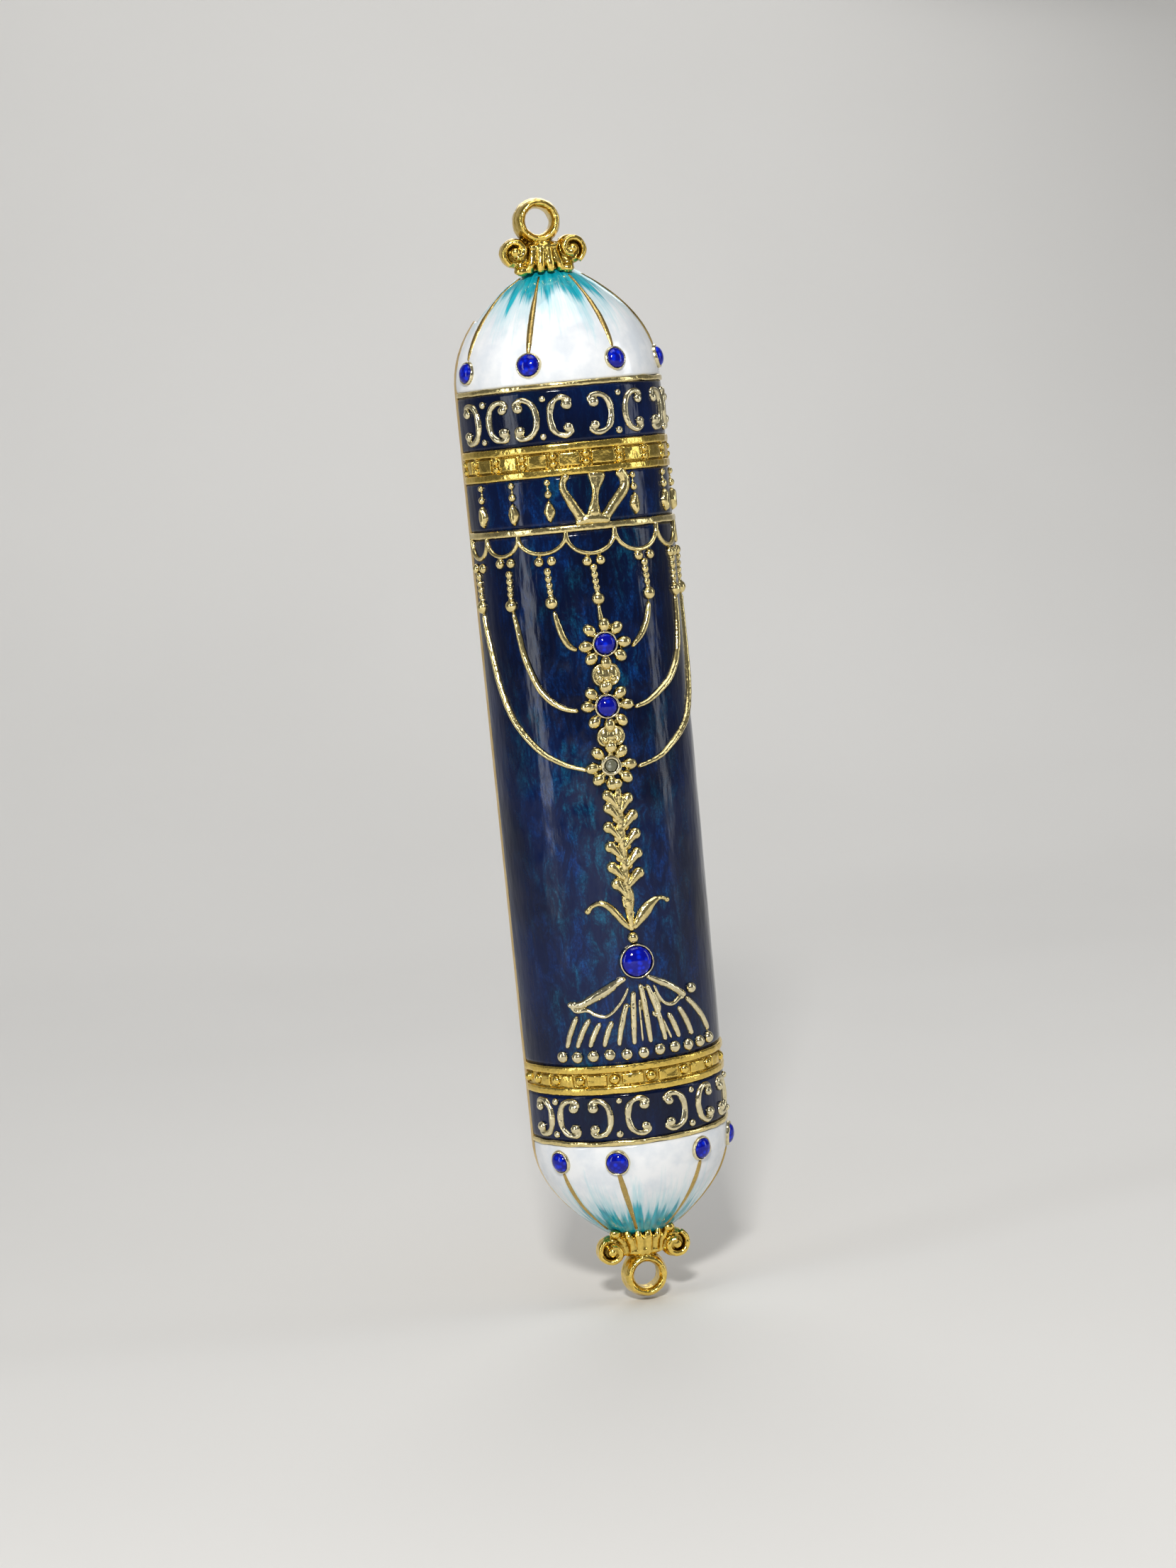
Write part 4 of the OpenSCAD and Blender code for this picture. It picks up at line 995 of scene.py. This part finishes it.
# ---------------------------------------------------------------- hangers
def hanger(name, node, hole, box, side, neck_x, spread, drop, tip_z, seed):
    """A ring on a neck between two volutes. side is 1 if the ring stands above its dome, -1 if below."""
    lump = Lump()
    back = float(box[1][1])
    depth = back - float(hole[1] - 1.5)

    def at(x, v, d):
        """A point from across, up towards the ring, and forward from the back."""
        return np.array([hole[0] + x, back - d, hole[2] + side * v])

    # The ring: a steep outer body and a narrower crest at the front.
    section = [(0.05, 0.0), (0.0, 1.2), (0.02, 2.3), (0.22, 2.75), (0.5, depth - 0.05),
               (0.82, depth - 0.2), (1.05, 2.3), (1.25, 1.4), (1.32, 0.7), (1.25, 0.0)]
    rings = []
    for t in circle(56):
        k = 1 + 0.05 * noise.noise(Vector((cos(t) * 1.5, sin(t) * 1.5, seed)))
        rings.append([at(cos(t) * (hole_r + wall * k), sin(t) * (hole_r + wall * k), d * (2 - k))
                      for wall, d in section])
    lump.rings(np.array(rings)[:, ::-side], closed=True)

    # Volutes: a band that curls in from outside to a ball, over a solid body.
    e, n, o = np.array([1.0, 0, 0]), np.array([0, 0, 1.0]), np.array([0, -1.0, 0])
    body = [(1.72 * r, h) for r, h in ((0.96, 0.02), (1.06, 0.8), (1.02, 1.7), (0.8, 2.15))] + [(0.3, 2.1)]
    steps = 34
    for s in (-1, 1):
        cx, cv = neck_x + s * spread, -drop
        lump.lathe(at(cx, cv, 0), (e, n, o), body, 28)
        turn = np.linspace(-0.35 * pi, 1.55 * pi, steps)
        rad = np.linspace(1.66, 0.62, steps)
        pts = [at(cx + s * r * cos(t), cv + r * sin(t), 2.35 + 0.5 * i / (steps - 1))
               for i, (t, r) in enumerate(zip(turn, rad))]
        w = 0.34 + 0.08 * np.sin(np.linspace(0.3, 2.8, steps))
        lump.tube(pts, [o] * steps, w, 0.55, 12)
        lump.ball(at(cx + s * 0.1, cv - 0.05, 2.75), 0.62, (e, n, o), (1.05, 1.0, 1.0))

    # Neck: a block from the dome to the ring, with flutes that splay over the dome.
    low = -(abs(hole[2]) - abs(tip_z)) - 0.5
    flutes = ((0.5, 0.15, 2.6), (1.5, 0.5, 2.25), (2.5, 0.9, 1.7))
    for x, lean, d in sorted((s * x, s * lean, d) for s in (-1, 1) for x, lean, d in flutes):
        pts = [(x * 0.55, -hole_r - 1.2, d - 0.45), (x * 0.85, -drop + 0.3, d - 0.1), (x, -drop - 0.8, d),
               (x + lean * 0.6, low + 0.5, d + 0.1), (x + lean, low - 0.3, d - 0.2)]
        q = smooth_path([at(neck_x + across, v, deep) for across, v, deep in pts], 18)
        w = 0.42 + 0.14 * np.sin(np.linspace(0, pi, 18))
        lump.tube(q, [o] * 18, w, 0.55, 10, 2.2)
    block = [(-2.9, low - 0.2), (-2.6, -drop), (-1.6, -hole_r - 1),
             (1.6, -hole_r - 1), (2.6, -drop), (2.9, low - 0.2)]
    layers = (0.02, 1.0, 1.9)[::side]
    lump.rings([[at(neck_x + x, v, d) for x, v in block] for d in layers])
    lump.ball(at(neck_x, -hole_r - 1.75, 2.55), 0.62, scale=(1.0, 0.85, 0.9))
    for s in (-1, 1):
        lump.ball(at(neck_x + s * 1.25, -hole_r - 1.55, 2.35), 0.5, scale=(1.4, 0.9, 0.8))
        lump.ball(at(neck_x + s * (spread - 0.6), low - 0.1, 2.0), 0.7, scale=(1.1, 0.9, 0.9))
    cast(name, lump, BRIGHT, [node], 0.11, 3, 0.06, seed)


hanger("hanger_upper", "upper_hanger", top_hole, upper_hanger_box, 1, 0.3, 3.45, 3.6, shell_z[1], 91)
hanger("hanger_lower", "lower_hanger", bottom_hole, lower_hanger_box, -1, 0.0, 4.05, 3.5, shell_z[0], 95)


# ---------------------------------------------------------------- scroll and its wrapper
roll_lo, roll_hi = low_high("scroll")
roll_c = (roll_lo + roll_hi) / 2
roll_r = float(roll_hi[0] - roll_lo[0]) / 2
turns, leaf, core = 7.0, 0.2, 1.35
count = int(turns * 44)
t = np.linspace(0, 1, count)
r_mid = core + (roll_r - leaf / 2 - core) * t
a = 2 * pi * turns * t
spiral = []
for off in (leaf / 2, -leaf / 2):
    r = r_mid + off
    spiral.append(np.column_stack([roll_c[0] + r * np.cos(a), roll_c[1] + r * np.sin(a)]))
outline = np.vstack([spiral[0], spiral[1][::-1]])
levels = roll_lo[2] + (roll_hi[2] - roll_lo[2]) * np.linspace(0, 1, 24)
rings = np.array([np.column_stack([outline, np.full(len(outline), z)]) for z in levels])
telescope = np.concatenate([t, t[::-1]])
rings[-1][:, 2] -= 0.35 * telescope
rings[0][:, 2] += 0.25 * telescope
m, k = rings.shape[:2]
faces = [(i * k + s, i * k + (s + 1) % k, (i + 1) * k + (s + 1) % k, (i + 1) * k + s)
         for i in range(m - 1) for s in range(k)]
for i, order in ((0, -1), (m - 1, 1)):
    for s in range(count - 1):
        f = (i * k + s, i * k + s + 1, i * k + k - 2 - s, i * k + k - 1 - s)
        faces.append(f[::order])
lump = Lump()
lump.add(rings.reshape(-1, 3), faces)
plain("parchment_roll", lump, PARCHMENT, ["scroll"])

film_lo, film_hi = low_high("scroll_wrapper")
film_r = float(film_hi[0] - film_lo[0]) / 2
lump = Lump()
angles = circle(72)
low, high = float(film_lo[2]), float(film_hi[2])
section = [(low, 0.02), (high - 1.5, 0.02), (high - 0.4, 0.05), (high, 0.1), (high, 0.16), (high - 1.5, 0.1),
           (low, 0.1)]
rows = [[(roll_c[0] + (film_r - inset) * cos(x), roll_c[1] + (film_r - inset) * sin(x), z) for x in angles]
        for z, inset in section]
lump.rings(rows, closed=True)
plain("clear_wrapper", lump, FILM, ["scroll_wrapper"])

# CAD nodes whose shape is right keep it and get their finish.
dress(frame["nodes"]["case_shell"], SHELL)
dress(frame["nodes"]["back_cover"], COVER)


# ---------------------------------------------------------------- studio
def floor_material():
    """Plain matt paper."""
    g = Graph("floor")
    where = g.position()[0]
    tone = g.mix(g.step(g.noise(where, 0.004, 3.0), 0.3, 0.7), rgb(0.74, 0.73, 0.71), rgb(0.70, 0.69, 0.67))
    g.set(color=tone, rough=0.75)
    return g.material


floor_z = float(cad_box[0][2]) / MM - 0.3
far, rise = 1500.0, 900.0
bend = 300.0
sweep = [(-far, 0.0), (bend, 0.0)]
sweep += [(bend * (1 + sin(x)), bend * (1 - cos(x))) for x in np.linspace(0.1, pi / 2, 14)]
sweep += [(2 * bend, rise)]
points = []
for x in (-far, far):
    points += [(x, y, floor_z + z) for y, z in sweep]
n = len(sweep)
quads = [(i, n + i, n + i + 1, i + 1) for i in range(n - 1)]
lump = Lump()
lump.add(points, quads)
floor = mesh_object("studio_floor", lump)
smooth_in_metres(floor, floor_material())

world = bpy.data.worlds.new("studio")
bpy.context.scene.world = world
world.use_nodes = True
background = world.node_tree.nodes["Background"]
background.inputs[0].default_value = (0.86, 0.88, 0.9, 1)
seen = world.node_tree.nodes.new("ShaderNodeLightPath")
strength = world.node_tree.nodes.new("ShaderNodeMapRange")
strength.inputs[3].default_value, strength.inputs[4].default_value = 0.16, 0.7
world.node_tree.links.new(seen.outputs["Is Camera Ray"], strength.inputs[0])
world.node_tree.links.new(strength.outputs[0], background.inputs[1])


def softbox(name, place, size, energy, color=(1, 1, 1)):
    """A soft light that looks at the middle of the case."""
    light = bpy.data.lights.new(name, "AREA")
    light.shape, light.size, light.size_y = "RECTANGLE", size[0], size[1]
    light.energy, light.color = energy, color
    obj = bpy.data.objects.new(name, light)
    bpy.context.scene.collection.objects.link(obj)
    obj.location = place
    obj.rotation_euler = (-Vector(place)).to_track_quat("-Z", "Y").to_euler()


softbox("key_window", (-0.14, -0.60, 0.34), (0.075, 0.075), 3.9, (1.0, 0.98, 0.95))
softbox("left_strip", (-0.55, -0.22, 0.05), (0.10, 0.6), 0.9, (0.92, 0.96, 1.0))
softbox("right_strip", (0.55, -0.16, 0.05), (0.10, 0.6), 0.6, (0.92, 0.96, 1.0))
softbox("overhead", (0.05, -0.15, 0.75), (0.5, 0.4), 1.5)
softbox("back_fill", (0.1, 0.5, 0.35), (0.4, 0.4), 0.8)

# Camera at the viewing angle: from the left and a little above, rolled so that the case leans to the left.
camera = bpy.data.cameras.new("camera")
camera.lens, camera.sensor_width, camera.clip_start, camera.clip_end = 78.0, 36.0, 0.01, 20.0
azimuth, elevation, roll = np.radians((-11.023, 5.3765, -5.545)).tolist()
distance = 0.42359
aim = Vector((-0.000979, -0.000223, -0.003817))
back = Vector((sin(azimuth) * cos(elevation), -cos(azimuth) * cos(elevation), sin(elevation)))
flat_right = Vector((cos(azimuth), sin(azimuth), 0))
flat_up = back.cross(flat_right)
right = flat_right * cos(roll) + flat_up * sin(roll)
turned = Matrix((right, back.cross(right), back)).transposed().to_4x4()
turned.translation = aim + back * distance
camera_obj = bpy.data.objects.new("camera", camera)
bpy.context.scene.collection.objects.link(camera_obj)
camera_obj.matrix_world = turned
bpy.context.scene.camera = camera_obj
bpy.context.scene.view_settings.view_transform = "Standard"
